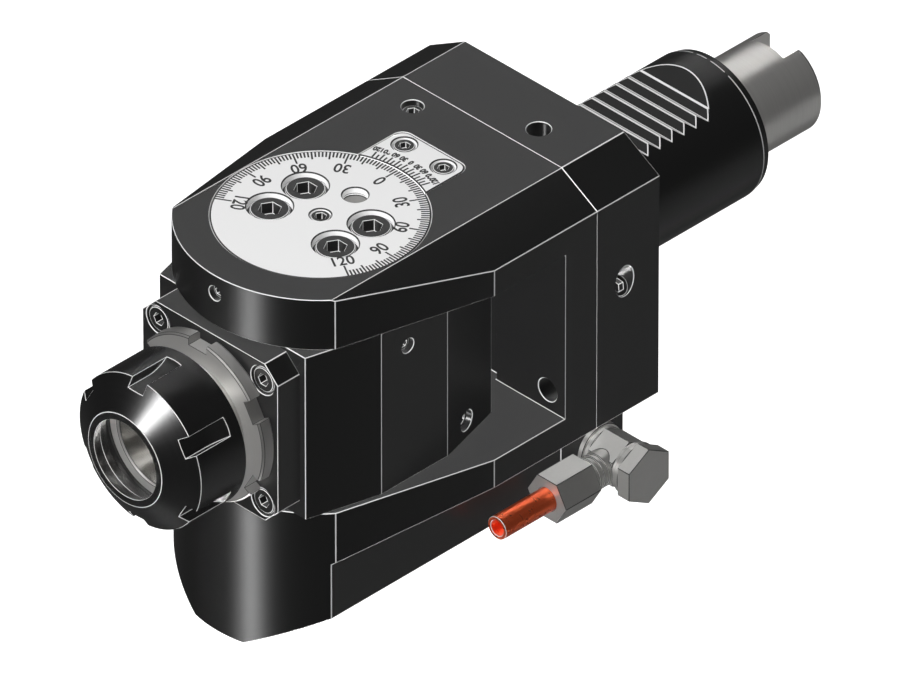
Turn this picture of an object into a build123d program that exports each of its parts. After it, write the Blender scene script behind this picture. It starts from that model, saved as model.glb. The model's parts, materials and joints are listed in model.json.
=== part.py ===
from build123d import *
import math
import os

os.makedirs("parts", exist_ok=True)

# Driving sizes in millimetres and degrees.
# The origin is where the shank's axis meets the flange face. Y runs from the nut to the shank, Z is up.
# A place "behind" is measured along Y from the swivel axis towards the shank, negative towards the nut.

# Block and fork
flange_behind = 77.0
seam_behind = 55.4
slot_wall_behind = 44.5
slot_recess_half = 15.8
slot_recess_depth = 2.0
slot_top = 24.6
slot_floor = -24.0
block_half_width = 39.5
block_half_height = 39.3
block_flat_half = 27.3
bevel_angle = 30.0
gear_box_bottom = -66.5
gear_box_flat_half = 8.2
fork_front_r = 36.1
fork_corner_half = 28.0
fork_taper = 15.0

# Shank
shank_r = 20.0
shank_length = 58.4
shank_end_lead = 2.2
shank_end_drop = 0.5
shank_seam_angle = 22.5
rack_tip_height = 16.24
rack_pitch = 4.18
rack_land = 0.3
rack_flank_angle = 40.0
rack_last_ridge = 45.0
rack_ridges = 10

# Drive train
gear_centres = 40.0
spur_teeth = 20
spur_pressure_angle = 20.0
spur_backlash = 0.25
spur_front_behind = 55.9
spur_width = 7.5
spur_pocket_gap = 0.6
bevel_teeth = 16
bevel_pitch_r = 12.0
bevel_face_width = 5.5
bevel_backlash = 0.7
bevel_hub_r = 8.2
bevel_hub_length = 1.2
lower_hub_length = 5.5
bevel_cavity_gap = 0.4
journal_r = 5.0
fit_gap = 0.02
running_gap = 0.3

# Drive shaft
coupling_r = 13.35
coupling_reach = 25.75
coupling_slot = 10.8
coupling_slot_depth = 6.5
coupling_bevel = 1.2
drive_front_wall = 3.0
shaft_step = 1.0
shaft_gear_r = 10.0
shaft_neck_r = 9.4
shaft_collar_r = 11.8
shaft_collar_width = 3.0
shank_bore_r = 12.6
key_width = 6.0
key_height = 6.0
key_seat = 3.5
seal_width = 2.6

# Swivel head
head_half_width = 30.6
head_front = -30.2
head_rear = 33.5
head_front_corner = -9.6
head_rear_corner = 13.0
head_taper = 15.0
head_gap = 0.3
head_cavity_r = 16.0
cap_half = 23.25
cap_corner = 4.5
cap_front = -37.7
cap_wall = 1.7
cap_seal_width = 2.0
seal_gap = 0.05
cap_screw_place = 18.0
head_spigot_r = 14.5
head_spigot_height = 1.4
rear_cover_r = 19.0
rear_cover_width = 3.0
rear_cover_screw_r = 16.2

# Dial, swivel flange and vernier plate
dial_r = 26.8
dial_thickness = 2.0
flange_thickness = 6.0
flange_hub_r = 19.0
clamp_screw_x = 11.3
clamp_screw_y = 6.1
dial_hole_r = 3.2
dial_hole_behind = 11.9
dial_hole_depth = 2.4
dial_pin_length = 8.6
centre_screw_r = 2.65
centre_screw_length = 7.0
dial_screw_recess = 0.4
vernier_half_width = 11.45
vernier_rear = 39.5
vernier_corner_r = 3.0
vernier_thickness = 4.6
vernier_screw_x = 6.7
vernier_screw_behind = 35.4
inlay_gap = 0.15

# Spindle, ring and nut
ring_r = 22.65
ring_front = -42.0
ring_back = -38.0
ring_notch_width = 6.0
ring_notch_floor = 20.2
ring_edge = 0.5
nut_r = 21.0
nut_back = -46.8
nut_cone_start = -61.5
nut_front = -66.7
nut_face_r = 12.65
nut_hole_r = 10.7
nut_slot_width = 5.0
nut_slot_floor = 18.4
nut_slot_flat_start = -56.5
nut_slot_cutter_r = 10.0
nut_slots = 6
nut_first_slot = 30.0
nut_edge = 0.6
spindle_thread_r = 16.0
spindle_front = -56.7
taper_mouth_r = 12.6
taper_mouth_edge = 0.5
taper_angle = 8.0
taper_length = 23.1
spindle_bore_r = 8.4
spindle_bore_end = -19.0
spindle_tail = 29.0
spindle_nose_edge = 0.5
lock_nut_flats = 15.0
lock_nut_length = 4.5
closing_ring_r = 14.9
closing_ring_hole_r = 12.4
closing_ring_mouth_r = 13.4
closing_ring_length = 3.0
closing_ring_gap = 0.3
nut_lip = 3.6
nut_lip_r = 12.2
nut_lock_gap = 0.15
thread_gap = 0.1

# Bearings: bore radius, outer radius, width
drive_front_bearing = (8.5, 13.0, 5.0)
drive_rear_bearing = (10.0, 16.0, 7.0)
small_bearing = (6.0, 12.0, 6.0)
pivot_bearing = (5.0, 11.0, 6.0)
spindle_front_bearing = (12.5, 18.5, 7.0)
spindle_rear_bearing = (5.0, 13.0, 8.0)
ball_share = 0.29
ball_gap = 0.05
shoulder_share = 0.62
ball_spacing = 3.0
cage_share = 0.55
cage_width_share = 2.5

# Screws: thread radius, head radius, head height, hexagon socket across flats, counterbore radius
m6 = (3.0, 5.0, 6.0, 5.0, 5.7)
m4 = (2.0, 3.5, 4.0, 3.0, 4.0)
m3 = (1.5, 2.75, 3.0, 2.5, 3.15)
m3_cover = (1.25, 2.25, 1.6, 2.0, 2.4)
screw_socket_share = 0.55
head_rim = 0.3
clamp_screw_length = 16.0
clamp_screw_recess = 0.8
cap_screw_length = 12.0
cap_screw_recess = 0.3
vernier_screw_length = 8.0
block_screw_length = 22.0
block_screw_x = 30.0
block_screw_z = 28.0
block_screw_recess = 0.6
cover_screw_length = 6.0

# Set screws and small holes
set_screw_socket_share = 0.9
fork_top_hole = (-16.7, 48.2)
fork_top_hole_r = 2.8
fork_top_hole_depth = 11.0
fork_front_hole_z = 33.9
fork_front_hole_r = 2.0
fork_front_screw_gap = 2.65
block_top_hole = (11.8, 63.1)
block_top_hole_r = 3.1
block_top_hole_depth = 9.0
wall_hole = (33.5, -18.3)
wall_hole_r = 3.2
wall_hole_depth = 8.0
side_hole_z = 6.9
side_hole_behind = 65.0
side_hole_r = 3.1
side_hole_depth = 8.0
head_side_hole_r = 2.0
head_side_hole_behind = -0.6
head_side_hole_z = 16.0
head_slant_hole_r = 2.8
head_slant_hole_behind = 21.9
head_slant_hole_z = -18.7
set_screw_length = 5.0
set_screw_recess = 1.5
dowel_r = 3.0
dowel_x = 32.0
dowel_z = 16.0
dowel_length = 14.0

# Coolant fitting
fitting_behind = 68.0
fitting_z = -50.2
washer_r = 7.0
washer_thickness = 1.5
banjo_flats = 12.0
banjo_hex_length = 8.4
banjo_collar_r = 6.4
banjo_collar_length = 1.2
banjo_channel_r = 5.0
banjo_channel_width = 4.0
bolt_thread_r = 4.0
bolt_hole_depth = 7.0
bolt_thread_length = 4.4
bolt_flats = 14.0
bolt_head_height = 4.1
bolt_channel_r = 1.8
coolant_hole_r = 1.5
stub_r = 4.6
stub_length = 9.6
stub_thread_pitch = 1.5
stub_thread_depth = 0.45
fitting_nut_flats = 11.6
fitting_nut_length = 12.4
fitting_nut_back = 56.0
tube_r = 3.15
tube_bore_r = 2.2
tube_front_behind = 26.4
tube_back_behind = 60.0
ferrule_r = 3.9
ferrule_length = 5.0
ferrule_cavity_r = 4.05
nut_tube_hole_length = 3.0
seal_ring_r = 25.0
seal_ring_section_r = 1.3
seal_groove_width = 3.0
seal_groove_depth = 2.0

# Threaded plug under the swivel axis
plug_r = 15.0
plug_bottom = -62.3
plug_pin_hole_r = 1.0
plug_pin_place = 12.6
plug_pin_hole_depth = 3.0
bearing_ledge = 1.5

# Values that follow from the driving sizes
tan_bevel = math.tan(math.radians(bevel_angle))
bevel_drop = (block_half_width - block_flat_half) * tan_bevel
gear_box_side_bottom = gear_box_bottom + (block_flat_half - gear_box_flat_half) * tan_bevel
head_top = slot_top - head_gap
head_bottom = slot_floor + head_gap
flange_top = block_half_height - dial_thickness
flange_bottom = block_half_height - flange_thickness
spur_module = gear_centres / spur_teeth
spur_r = spur_teeth * spur_module / 2
bevel_module = 2 * bevel_pitch_r / bevel_teeth
cone_distance = bevel_pitch_r * math.sqrt(2)
bevel_small = bevel_pitch_r - bevel_face_width * math.cos(math.pi / 4)
bevel_tip_angle = math.pi / 4 + math.atan(bevel_module / cone_distance)
bevel_root_angle = math.pi / 4 - math.atan(1.25 * bevel_module / cone_distance)
bevel_back = 2 * bevel_pitch_r / (1 + math.tan(bevel_root_angle))
bevel_tip_r = bevel_pitch_r + bevel_module * math.cos(math.pi / 4)
bevel_hub_end = bevel_back + bevel_hub_length
bevel_cavity_r = bevel_tip_r + bevel_cavity_gap
lower_z = -gear_centres
shank_end = flange_behind + shank_length
spur_back_behind = spur_front_behind + spur_width


# Planes and lines

def across(behind, x=0.0, z=0.0):
    """Plane square to the shank seen from the nut, x to the right and z up; extrusions run to the nut."""
    return Plane(origin=(x, behind - flange_behind, z), x_dir=(1, 0, 0), z_dir=(0, -1, 0))


def level(z):
    """Level plane at a height, with its origin on the swivel axis."""
    return Plane(origin=(0, -flange_behind, z), x_dir=(1, 0, 0), z_dir=(0, 0, 1))


def from_right(x, behind, z):
    """Plane that faces right."""
    return Plane(origin=(x, behind - flange_behind, z), x_dir=(0, 1, 0), z_dir=(1, 0, 0))


# Half sections of turned pieces are drawn on these planes as (radius, place along the line).
spindle_line = level(0)
lower_line = level(lower_z)
pivot_line = across(0)
fitting_line = Plane(
    origin=(0, fitting_behind - flange_behind, fitting_z), x_dir=(0, 0, 1), z_dir=(0, 1, 0))


def line_axis(line):
    """The line that a half section is turned about."""
    return Axis(line.origin, line.y_dir)


def around(line, radius, along, angle):
    """Point at a radius and angle about a turning line."""
    turn = math.radians(angle)
    return line.from_local_coords((radius * math.cos(turn), along, radius * math.sin(turn)))


def facing_along(line, along, towards=1):
    """Plane square to a turning line, which faces the way the line runs or the other way."""
    return Plane(origin=line.from_local_coords((0, along, 0)), x_dir=line.x_dir,
                 z_dir=line.y_dir * towards)


def ring_section(low_r, high_r, start, end):
    """Rectangular half section of a turned ring."""
    Polygon((low_r, start), (high_r, start), (high_r, end), (low_r, end))


# Repeated pieces

def ball_bearing(size, line, start):
    """Outer ring, inner ring, and balls with their cage, of one ball bearing."""
    bore_r, outer_r, width = size
    pitch_r = (bore_r + outer_r) / 2
    ball_r = (outer_r - bore_r) * ball_share
    middle = start + width / 2
    shoulder = ball_r * shoulder_share
    rings = []
    for low_r, high_r in ((pitch_r + shoulder, outer_r), (bore_r, pitch_r - shoulder)):
        with BuildPart() as ring:
            with BuildSketch(line):
                ring_section(low_r, high_r, start, start + width)
                with Locations((pitch_r, middle)):
                    Circle(ball_r + ball_gap, mode=Mode.SUBTRACT)
            revolve(axis=line_axis(line))
        rings.append(ring.part)
    count = int(2 * math.pi * pitch_r / (ball_spacing * ball_r))
    places = [around(line, pitch_r, middle, 360 * index / count) for index in range(count)]
    half_cage = ball_r * cage_width_share / 2
    with BuildPart() as cage:
        with BuildSketch(line):
            ring_section(pitch_r - shoulder * cage_share, pitch_r + shoulder * cage_share,
                         middle - half_cage, middle + half_cage)
        revolve(axis=line_axis(line))
        hub = line.from_local_coords((0, middle, 0))
        with Locations([Plane(origin=place, z_dir=place - hub) for place in places]):
            Cylinder(ball_r + ball_gap, 2 * ball_r, mode=Mode.SUBTRACT)
    with BuildPart() as balls:
        with Locations(places):
            Sphere(ball_r)
    return rings[0], rings[1], cage.part, balls.part


def cap_screw(size, length):
    """Socket cap screw with its axis on Z, the underside of its head at zero and its thread downwards."""
    thread_r, head_r, head_height, socket, _ = size
    with BuildPart() as screw:
        with BuildSketch():
            Circle(head_r)
        extrude(amount=head_height)
        chamfer(screw.faces().sort_by(Axis.Z)[-1].edges(), head_rim)
        with BuildSketch(Plane.XY.offset(head_height)):
            RegularPolygon(socket / 2, 6, major_radius=False)
        extrude(amount=-head_height * screw_socket_share, mode=Mode.SUBTRACT)
        with BuildSketch():
            Circle(thread_r)
        extrude(amount=-length)
    return screw.part


def set_screw(radius, length):
    """Headless screw with its axis on Z and its socket face at zero."""
    with BuildPart() as screw:
        with BuildSketch():
            Circle(radius)
        extrude(amount=-length)
        chamfer(screw.edges().sort_by(Axis.Z)[-1], head_rim)
        with BuildSketch():
            RegularPolygon(radius / 2, 6, major_radius=False)
        extrude(amount=-length * set_screw_socket_share / 2, mode=Mode.SUBTRACT)
    return screw.part


def write(part, label):
    """Label a finished piece and write its file."""
    part.label = label
    export_step(part, f"parts/{label}.step")


def group(pieces, label):
    """Write several separate solids as one node."""
    solids = [solid for piece in pieces for solid in piece.solids()]
    write(Compound(children=solids), label)


def placed(piece, plane, places=((0, 0),)):
    """The same piece at several places on a plane."""
    return [piece.moved(plane.location * Location((x, y, 0))) for x, y in places]


def corners(x, y):
    """The four points (plus or minus x, plus or minus y)."""
    return [(x, y), (-x, y), (-x, -y), (x, -y)]


# Gears

def involute(angle):
    """Involute function of a pressure angle in radians."""
    return math.tan(angle) - angle


def spur_outline(turned_by):
    """Outline of the spur gear, as points in its plane."""
    pressure = math.radians(spur_pressure_angle)
    base_r = spur_r * math.cos(pressure)
    tip_r = spur_r + spur_module
    root_r = spur_r - 1.25 * spur_module
    half_tooth = (math.pi * spur_module / 2 - spur_backlash / 2) / 2 / spur_r
    flank = []
    for radius in (base_r, (base_r + spur_r) / 2, spur_r, spur_r + spur_module / 2, tip_r):
        lean = half_tooth + involute(pressure) - involute(math.acos(base_r / radius))
        flank.append((radius, lean))
    flank.insert(0, (root_r, flank[0][1]))
    points = []
    for index in range(spur_teeth):
        centre = 2 * math.pi * index / spur_teeth + turned_by
        sides = [(r, centre - a) for r, a in flank] + [(r, centre + a) for r, a in reversed(flank)]
        points += [(r * math.cos(a), r * math.sin(a)) for r, a in sides]
    return points


def spur_gear(line, bore_r, turned_by):
    """Spur gear on a line parallel to the shank."""
    with BuildPart() as gear:
        with BuildSketch(facing_along(line, spur_front_behind)):
            Polygon(*spur_outline(turned_by))
            Circle(bore_r + fit_gap, mode=Mode.SUBTRACT)
        extrude(amount=spur_width)
    return gear.part


def bevel_outline(distance, turned_by):
    """Outline of the bevel gear in the plane at a distance from the point where the axes cross."""
    half_tooth = math.pi * bevel_module / 4 - bevel_backlash / 4
    lean = math.tan(math.radians(spur_pressure_angle))
    flank = []
    for angle, height in ((bevel_root_angle, -1.25 * bevel_module), (math.pi / 4, 0.0),
                          (bevel_tip_angle, bevel_module)):
        half_arc = (half_tooth - height * lean) / (cone_distance * math.sin(angle))
        flank.append((distance * math.tan(angle), half_arc))
    points = []
    for index in range(bevel_teeth):
        centre = 2 * math.pi * index / bevel_teeth + turned_by
        sides = [(r, centre - a) for r, a in flank] + [(r, centre + a) for r, a in reversed(flank)]
        points += [(r * math.cos(a), r * math.sin(a)) for r, a in sides]
    return points


def bevel_gear(line, apex, towards, hub_end, turned_by):
    """Bevel gear on a line; its small end faces the crossing point, its hub runs on towards hub_end."""
    with BuildPart() as gear:
        with BuildSketch(facing_along(line, apex + towards * bevel_small)):
            Polygon(*bevel_outline(bevel_small, turned_by))
        with BuildSketch(facing_along(line, apex + towards * bevel_back)):
            Polygon(*bevel_outline(bevel_back, turned_by))
        loft(ruled=True)
        with BuildSketch(line):
            outer = 2 * bevel_pitch_r
            Polygon(
                (0, apex + towards * bevel_small), (outer - bevel_small, apex + towards * bevel_small),
                (outer - bevel_back, apex + towards * bevel_back), (0, apex + towards * bevel_back))
        revolve(axis=line_axis(line), mode=Mode.INTERSECT)
        with BuildSketch(line):
            ring_section(0, bevel_hub_r, apex + towards * bevel_back, apex + towards * hub_end)
        revolve(axis=line_axis(line))
        with BuildSketch(line):
            ring_section(0, journal_r + fit_gap, apex, apex + towards * (hub_end + running_gap))
        revolve(axis=line_axis(line), mode=Mode.SUBTRACT)
    return gear.part


# Outlines shared by the rear block and the fork

def block_section():
    """Section of the block with the gear box below it, seen along the shank."""
    side = [(block_flat_half, block_half_height), (block_half_width, block_half_height - bevel_drop),
            (block_half_width, bevel_drop - block_half_height), (block_flat_half, -block_half_height),
            (block_flat_half, gear_box_side_bottom), (gear_box_flat_half, gear_box_bottom)]
    Polygon(*side, *[(-x, z) for x, z in reversed(side)])


screw_places = corners(block_screw_x, block_screw_z)
dowel_places = [(-dowel_x, dowel_z), (dowel_x, dowel_z)]
clamp_places = corners(clamp_screw_x, clamp_screw_y)
cap_screw_places = corners(cap_screw_place, cap_screw_place)
vernier_screw_places = [(-vernier_screw_x, vernier_screw_behind), (vernier_screw_x, vernier_screw_behind)]
drive_rear_start = shank_end - seal_width - drive_rear_bearing[2] - running_gap
drive_front_start = slot_wall_behind + slot_recess_depth + drive_front_wall
lower_rear_start = spur_back_behind + shaft_step
lower_front_start = bevel_hub_end + lower_hub_length
spur_pocket_r = spur_r + spur_module + spur_pocket_gap
spur_pocket_back = spur_back_behind + spur_pocket_gap
coolant_hole_x = block_flat_half - bolt_thread_length - coolant_hole_r - running_gap


# Rear block with the toothed shank

rack_depth = (rack_pitch - rack_land) / 2 * math.tan(math.radians(rack_flank_angle))
rack_root_height = rack_tip_height - rack_depth
shank_ridges = [rack_last_ridge - index * rack_pitch for index in range(rack_ridges)]
rack_outline = [(0, rack_tip_height)]
for ridge in reversed(shank_ridges):
    rack_outline += [(ridge - rack_pitch / 2, rack_root_height), (ridge - rack_land / 2, rack_tip_height),
                     (ridge + rack_land / 2, rack_tip_height)]
rack_rise = shank_r + running_gap - rack_tip_height
rack_outline += [
    (rack_last_ridge + rack_rise / math.tan(math.radians(rack_flank_angle)), shank_r + running_gap),
    (0, shank_r + running_gap)]

shank_start = Plane(Plane.XZ.location * Rot(0, 0, shank_seam_angle))
with BuildPart() as rear_block:
    with BuildSketch(across(flange_behind)):
        block_section()
    extrude(amount=flange_behind - seam_behind)
    # The shank's circle starts clear of the rack, so its seam and its sample points lie on round wall
    with BuildSketch(shank_start):
        Circle(shank_r)
    extrude(amount=-shank_length)
    with BuildSketch(spindle_line):
        Polygon(
            (shank_r, shank_end - shank_end_lead), (shank_r + running_gap, shank_end - shank_end_lead),
            (shank_r + running_gap, shank_end), (shank_r - shank_end_drop, shank_end))
    revolve(axis=Axis.Y, mode=Mode.SUBTRACT)
    with BuildSketch(Plane.YZ):
        Polygon(*rack_outline)
    extrude(amount=shank_r, both=True, mode=Mode.SUBTRACT)
    # Bore for the drive shaft and its rear bearing
    with BuildSketch(spindle_line):
        ring_section(0, shank_bore_r, seam_behind, drive_rear_start + running_gap)
        ring_section(0, drive_rear_bearing[1], drive_rear_start, shank_end)
    revolve(axis=Axis.Y, mode=Mode.SUBTRACT)
    # Pockets for the two spur gears, open at the seam
    with BuildSketch(across(spur_pocket_back)):
        Circle(spur_pocket_r)
        with Locations((0, lower_z)):
            Circle(spur_pocket_r)
    extrude(amount=spur_pocket_back - seam_behind, mode=Mode.SUBTRACT)
    with BuildSketch(lower_line):
        ring_section(0, small_bearing[1], seam_behind, lower_rear_start + small_bearing[2])
    revolve(axis=line_axis(lower_line), mode=Mode.SUBTRACT)
    # Screws from behind and dowels in the seam
    with Locations(Plane(origin=(0, 0, 0), x_dir=(1, 0, 0), z_dir=(0, 1, 0))):
        with Locations(*[(x, -z) for x, z in screw_places]):
            CounterBoreHole(m6[0] + thread_gap, m6[4], m6[2] + block_screw_recess)
    with BuildSketch(across(seam_behind + dowel_length / 2)):
        with Locations(*dowel_places):
            Circle(dowel_r + fit_gap)
    extrude(amount=dowel_length / 2, mode=Mode.SUBTRACT)
    # Seal groove, small holes and the coolant way
    with BuildSketch(Plane.XY):
        ring_section(seal_ring_r - seal_groove_width / 2, seal_ring_r + seal_groove_width / 2,
                     -seal_groove_depth, 0)
    revolve(axis=Axis.Y, mode=Mode.SUBTRACT)
    with Locations(level(block_half_height)):
        with Locations(block_top_hole):
            Hole(block_top_hole_r, block_top_hole_depth)
    with Locations(Plane(origin=(block_half_width, side_hole_behind - flange_behind, side_hole_z),
                         x_dir=(0, 1, 0), z_dir=(1, 0, 1))):
        Cylinder(side_hole_r, 2 * side_hole_depth, mode=Mode.SUBTRACT)
    with Locations(from_right(block_flat_half, fitting_behind, fitting_z)):
        Hole(bolt_thread_r + thread_gap, bolt_hole_depth)
    with Locations(Plane(origin=(coolant_hole_x, 0, fitting_z), x_dir=(1, 0, 0), z_dir=(0, 1, 0))):
        Hole(coolant_hole_r, flange_behind - fitting_behind)
write(rear_block.part, "rear_block")


# Fork housing

corner_behind = -math.sqrt(fork_front_r ** 2 - fork_corner_half ** 2)
taper_behind = corner_behind + (block_half_width - fork_corner_half) / math.tan(math.radians(fork_taper))
plug_pocket_top = lower_z - bevel_small + running_gap
lower_front_end = lower_front_start + small_bearing[2]
lower_web_bore_r = (small_bearing[0] + small_bearing[1]) / 2

with BuildPart() as fork_housing:
    with BuildSketch(across(seam_behind)):
        block_section()
    extrude(amount=seam_behind + fork_front_r)
    # Front of the two arms in plan
    with BuildSketch(level(gear_box_bottom)):
        with BuildLine():
            Polyline((fork_corner_half, corner_behind), (block_half_width, taper_behind),
                     (block_half_width, seam_behind), (-block_half_width, seam_behind),
                     (-block_half_width, taper_behind), (-fork_corner_half, corner_behind))
            ThreePointArc((-fork_corner_half, corner_behind), (0, -fork_front_r),
                          (fork_corner_half, corner_behind))
        make_face()
    extrude(amount=block_half_height - gear_box_bottom, mode=Mode.INTERSECT)
    # Slot between the arms, with the recess in its rear wall
    with BuildSketch(level(slot_floor)):
        with Locations((0, (slot_wall_behind - 2 * fork_front_r) / 2)):
            Rectangle(4 * block_half_width, slot_wall_behind + 2 * fork_front_r)
    extrude(amount=slot_top - slot_floor, mode=Mode.SUBTRACT)
    with BuildSketch(across(slot_wall_behind + slot_recess_depth, z=(slot_top + slot_floor) / 2)):
        Rectangle(2 * slot_recess_half, slot_top - slot_floor)
    extrude(amount=slot_recess_depth, mode=Mode.SUBTRACT)
    # Front bearing of the drive shaft in the web
    with BuildSketch(spindle_line):
        ring_section(0, drive_front_bearing[1], drive_front_start, seam_behind)
    revolve(axis=Axis.Y, mode=Mode.SUBTRACT)
    # Lower shaft bore and the bevel gear cavities
    with BuildSketch(lower_line):
        ring_section(0, lower_web_bore_r, lower_front_start, seam_behind)
        ring_section(0, small_bearing[1], lower_front_start, lower_front_end)
        ring_section(0, bevel_cavity_r, bevel_small - running_gap, lower_front_start)
    revolve(axis=line_axis(lower_line), mode=Mode.SUBTRACT)
    with BuildSketch(pivot_line):
        ring_section(0, plug_r, gear_box_bottom - running_gap, plug_pocket_top)
        ring_section(0, journal_r + 2 * running_gap, plug_pocket_top, slot_floor)
        ring_section(0, head_spigot_r + running_gap, slot_floor - head_spigot_height - running_gap,
                     slot_floor + running_gap)
    revolve(axis=line_axis(pivot_line), mode=Mode.SUBTRACT)
    # Seats of the swivel flange and the vernier plate in the upper arm
    with BuildSketch(pivot_line):
        ring_section(0, dial_r + inlay_gap, flange_bottom, block_half_height + running_gap)
        ring_section(0, flange_hub_r + running_gap, slot_top - running_gap, flange_bottom)
    revolve(axis=line_axis(pivot_line), mode=Mode.SUBTRACT)
    with BuildSketch(level(block_half_height)):
        with Locations((0, vernier_rear / 2)):
            RectangleRounded(2 * (vernier_half_width + inlay_gap), vernier_rear + 2 * inlay_gap,
                             vernier_corner_r)
    extrude(amount=-vernier_thickness, mode=Mode.SUBTRACT)
    # Screw holes
    with BuildSketch(across(seam_behind)):
        with Locations(*screw_places):
            Circle(m6[0] + fit_gap)
    extrude(amount=block_screw_length - (flange_behind - seam_behind - m6[2] - block_screw_recess),
            mode=Mode.SUBTRACT)
    with BuildSketch(across(seam_behind)):
        with Locations(*dowel_places):
            Circle(dowel_r + fit_gap)
    extrude(amount=dowel_length / 2, mode=Mode.SUBTRACT)
    with BuildSketch(level(block_half_height - vernier_thickness)):
        with Locations(*vernier_screw_places):
            Circle(m3[0] + fit_gap)
    extrude(amount=-vernier_screw_length, mode=Mode.SUBTRACT)
    with Locations(level(block_half_height)):
        with Locations(fork_top_hole):
            Hole(fork_top_hole_r, fork_top_hole_depth)
    with Locations(across(-fork_front_r, z=fork_front_hole_z)):
        Hole(fork_front_hole_r, fork_front_r - dial_r)
    with Locations(across(slot_wall_behind, x=wall_hole[0], z=wall_hole[1])):
        Hole(wall_hole_r, wall_hole_depth)
write(fork_housing.part, "fork_housing")


# Fasteners of the block

rear_plane = Plane(origin=(0, -m6[2] - block_screw_recess, 0), x_dir=(1, 0, 0), z_dir=(0, 1, 0))
block_screw = cap_screw(m6, block_screw_length)
group(placed(block_screw, rear_plane, screw_places), "block_screws")

with BuildPart() as dowel_pins:
    with BuildSketch(across(seam_behind + dowel_length / 2)):
        with Locations(*dowel_places):
            Circle(dowel_r)
    extrude(amount=dowel_length)
    chamfer(dowel_pins.edges().filter_by(GeomType.CIRCLE), head_rim)
write(dowel_pins.part, "dowel_pins")

# The screw in the arm's front ends before the dial's seat
fork_front_screw_length = fork_front_r - set_screw_recess - dial_r - inlay_gap - fork_front_screw_gap
fork_screw_planes = [
    (level(block_half_height - set_screw_recess), fork_top_hole, fork_top_hole_r, set_screw_length),
    (across(-fork_front_r + set_screw_recess, z=fork_front_hole_z), (0, 0), fork_front_hole_r,
     fork_front_screw_length)]
group([placed(set_screw(radius - fit_gap, length), plane, [place])[0]
       for plane, place, radius, length in fork_screw_planes], "fork_set_screws")

side_screw_plane = Plane(
    origin=(block_half_width, side_hole_behind - flange_behind, side_hole_z), x_dir=(0, 1, 0),
    z_dir=(1, 0, 1))
side_plug = set_screw(side_hole_r - fit_gap, side_hole_depth - side_hole_r - head_rim)
group(placed(side_plug, side_screw_plane.offset(-side_hole_r - head_rim)), "side_plug_screw")

with BuildPart() as flange_seal:
    with BuildSketch(Plane.XY):
        with Locations((seal_ring_r, seal_ring_section_r - seal_groove_depth)):
            Circle(seal_ring_section_r)
    revolve(axis=Axis.Y)
write(flange_seal.part, "flange_seal")


# Vernier plate and its screws

with BuildPart() as vernier_plate:
    with BuildSketch(level(block_half_height - vernier_thickness)):
        with Locations((0, vernier_rear / 2)):
            RectangleRounded(2 * vernier_half_width, vernier_rear, vernier_corner_r)
        Circle(dial_r + 2 * inlay_gap, mode=Mode.SUBTRACT)
    extrude(amount=vernier_thickness)
    with Locations(level(block_half_height)):
        with Locations(*vernier_screw_places):
            CounterBoreHole(m3[0] + fit_gap, m3[4], m3[2] + cap_screw_recess, vernier_thickness)
write(vernier_plate.part, "vernier_plate")

vernier_seat = level(block_half_height - m3[2] - cap_screw_recess)
group(placed(cap_screw(m3, vernier_screw_length), vernier_seat, vernier_screw_places), "vernier_screws")


# Drive shaft, its gear, key and seal

coupling_start = shank_end + running_gap
drive_end = shank_end + coupling_reach
collar_start = spur_back_behind
drive_front_end = drive_front_start + drive_front_bearing[2]

with BuildPart() as drive_shaft:
    with BuildSketch(spindle_line):
        Polygon(
            (0, drive_front_start), (drive_front_bearing[0] - fit_gap, drive_front_start),
            (drive_front_bearing[0] - fit_gap, drive_front_end), (shaft_gear_r, drive_front_end),
            (shaft_gear_r, collar_start), (shaft_collar_r, collar_start),
            (shaft_collar_r, collar_start + shaft_collar_width),
            (shaft_neck_r, collar_start + shaft_collar_width),
            (shaft_neck_r, drive_rear_start - shaft_collar_width),
            (shaft_collar_r, drive_rear_start - shaft_collar_width), (shaft_collar_r, drive_rear_start),
            (drive_rear_bearing[0] - fit_gap, drive_rear_start),
            (drive_rear_bearing[0] - fit_gap, coupling_start),
            (coupling_r, coupling_start), (coupling_r, drive_end - coupling_bevel),
            (coupling_r - coupling_bevel, drive_end), (0, drive_end))
    revolve(axis=Axis.Y)
    with BuildSketch(across(drive_end)):
        Rectangle(coupling_slot, 4 * coupling_r)
    extrude(amount=coupling_slot_depth, mode=Mode.SUBTRACT)
    with BuildSketch(level(shaft_gear_r - key_seat)):
        with Locations((0, spur_front_behind + spur_width / 2)):
            Rectangle(key_width, spur_width)
    extrude(amount=key_height, mode=Mode.SUBTRACT)
write(drive_shaft.part, "drive_shaft")

with BuildPart() as drive_gear:
    add(spur_gear(spindle_line, shaft_gear_r, 0))
    with BuildSketch(level(0)):
        with Locations((0, spur_front_behind + spur_width / 2)):
            Rectangle(key_width + 2 * fit_gap, 2 * spur_width)
    extrude(amount=shaft_gear_r - key_seat + key_height + fit_gap, mode=Mode.SUBTRACT)
write(drive_gear.part, "drive_gear")

with BuildPart() as drive_key:
    with BuildSketch(level(shaft_gear_r - key_seat + fit_gap)):
        with Locations((0, spur_front_behind + spur_width / 2)):
            Rectangle(key_width - 2 * fit_gap, spur_width - 2 * fit_gap)
    extrude(amount=key_height - 2 * fit_gap)
write(drive_key.part, "drive_key")

with BuildPart() as shaft_seal:
    with BuildSketch(spindle_line):
        ring_section(drive_rear_bearing[0] + seal_gap, drive_rear_bearing[1] - fit_gap,
                     shank_end - seal_width, shank_end - fit_gap)
    revolve(axis=Axis.Y)
write(shaft_seal.part, "shaft_seal")

drive_bearings = [ball_bearing(drive_front_bearing, spindle_line, drive_front_start),
                  ball_bearing(drive_rear_bearing, spindle_line, drive_rear_start)]


# Lower shaft with its spur gear and bevel gear

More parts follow.
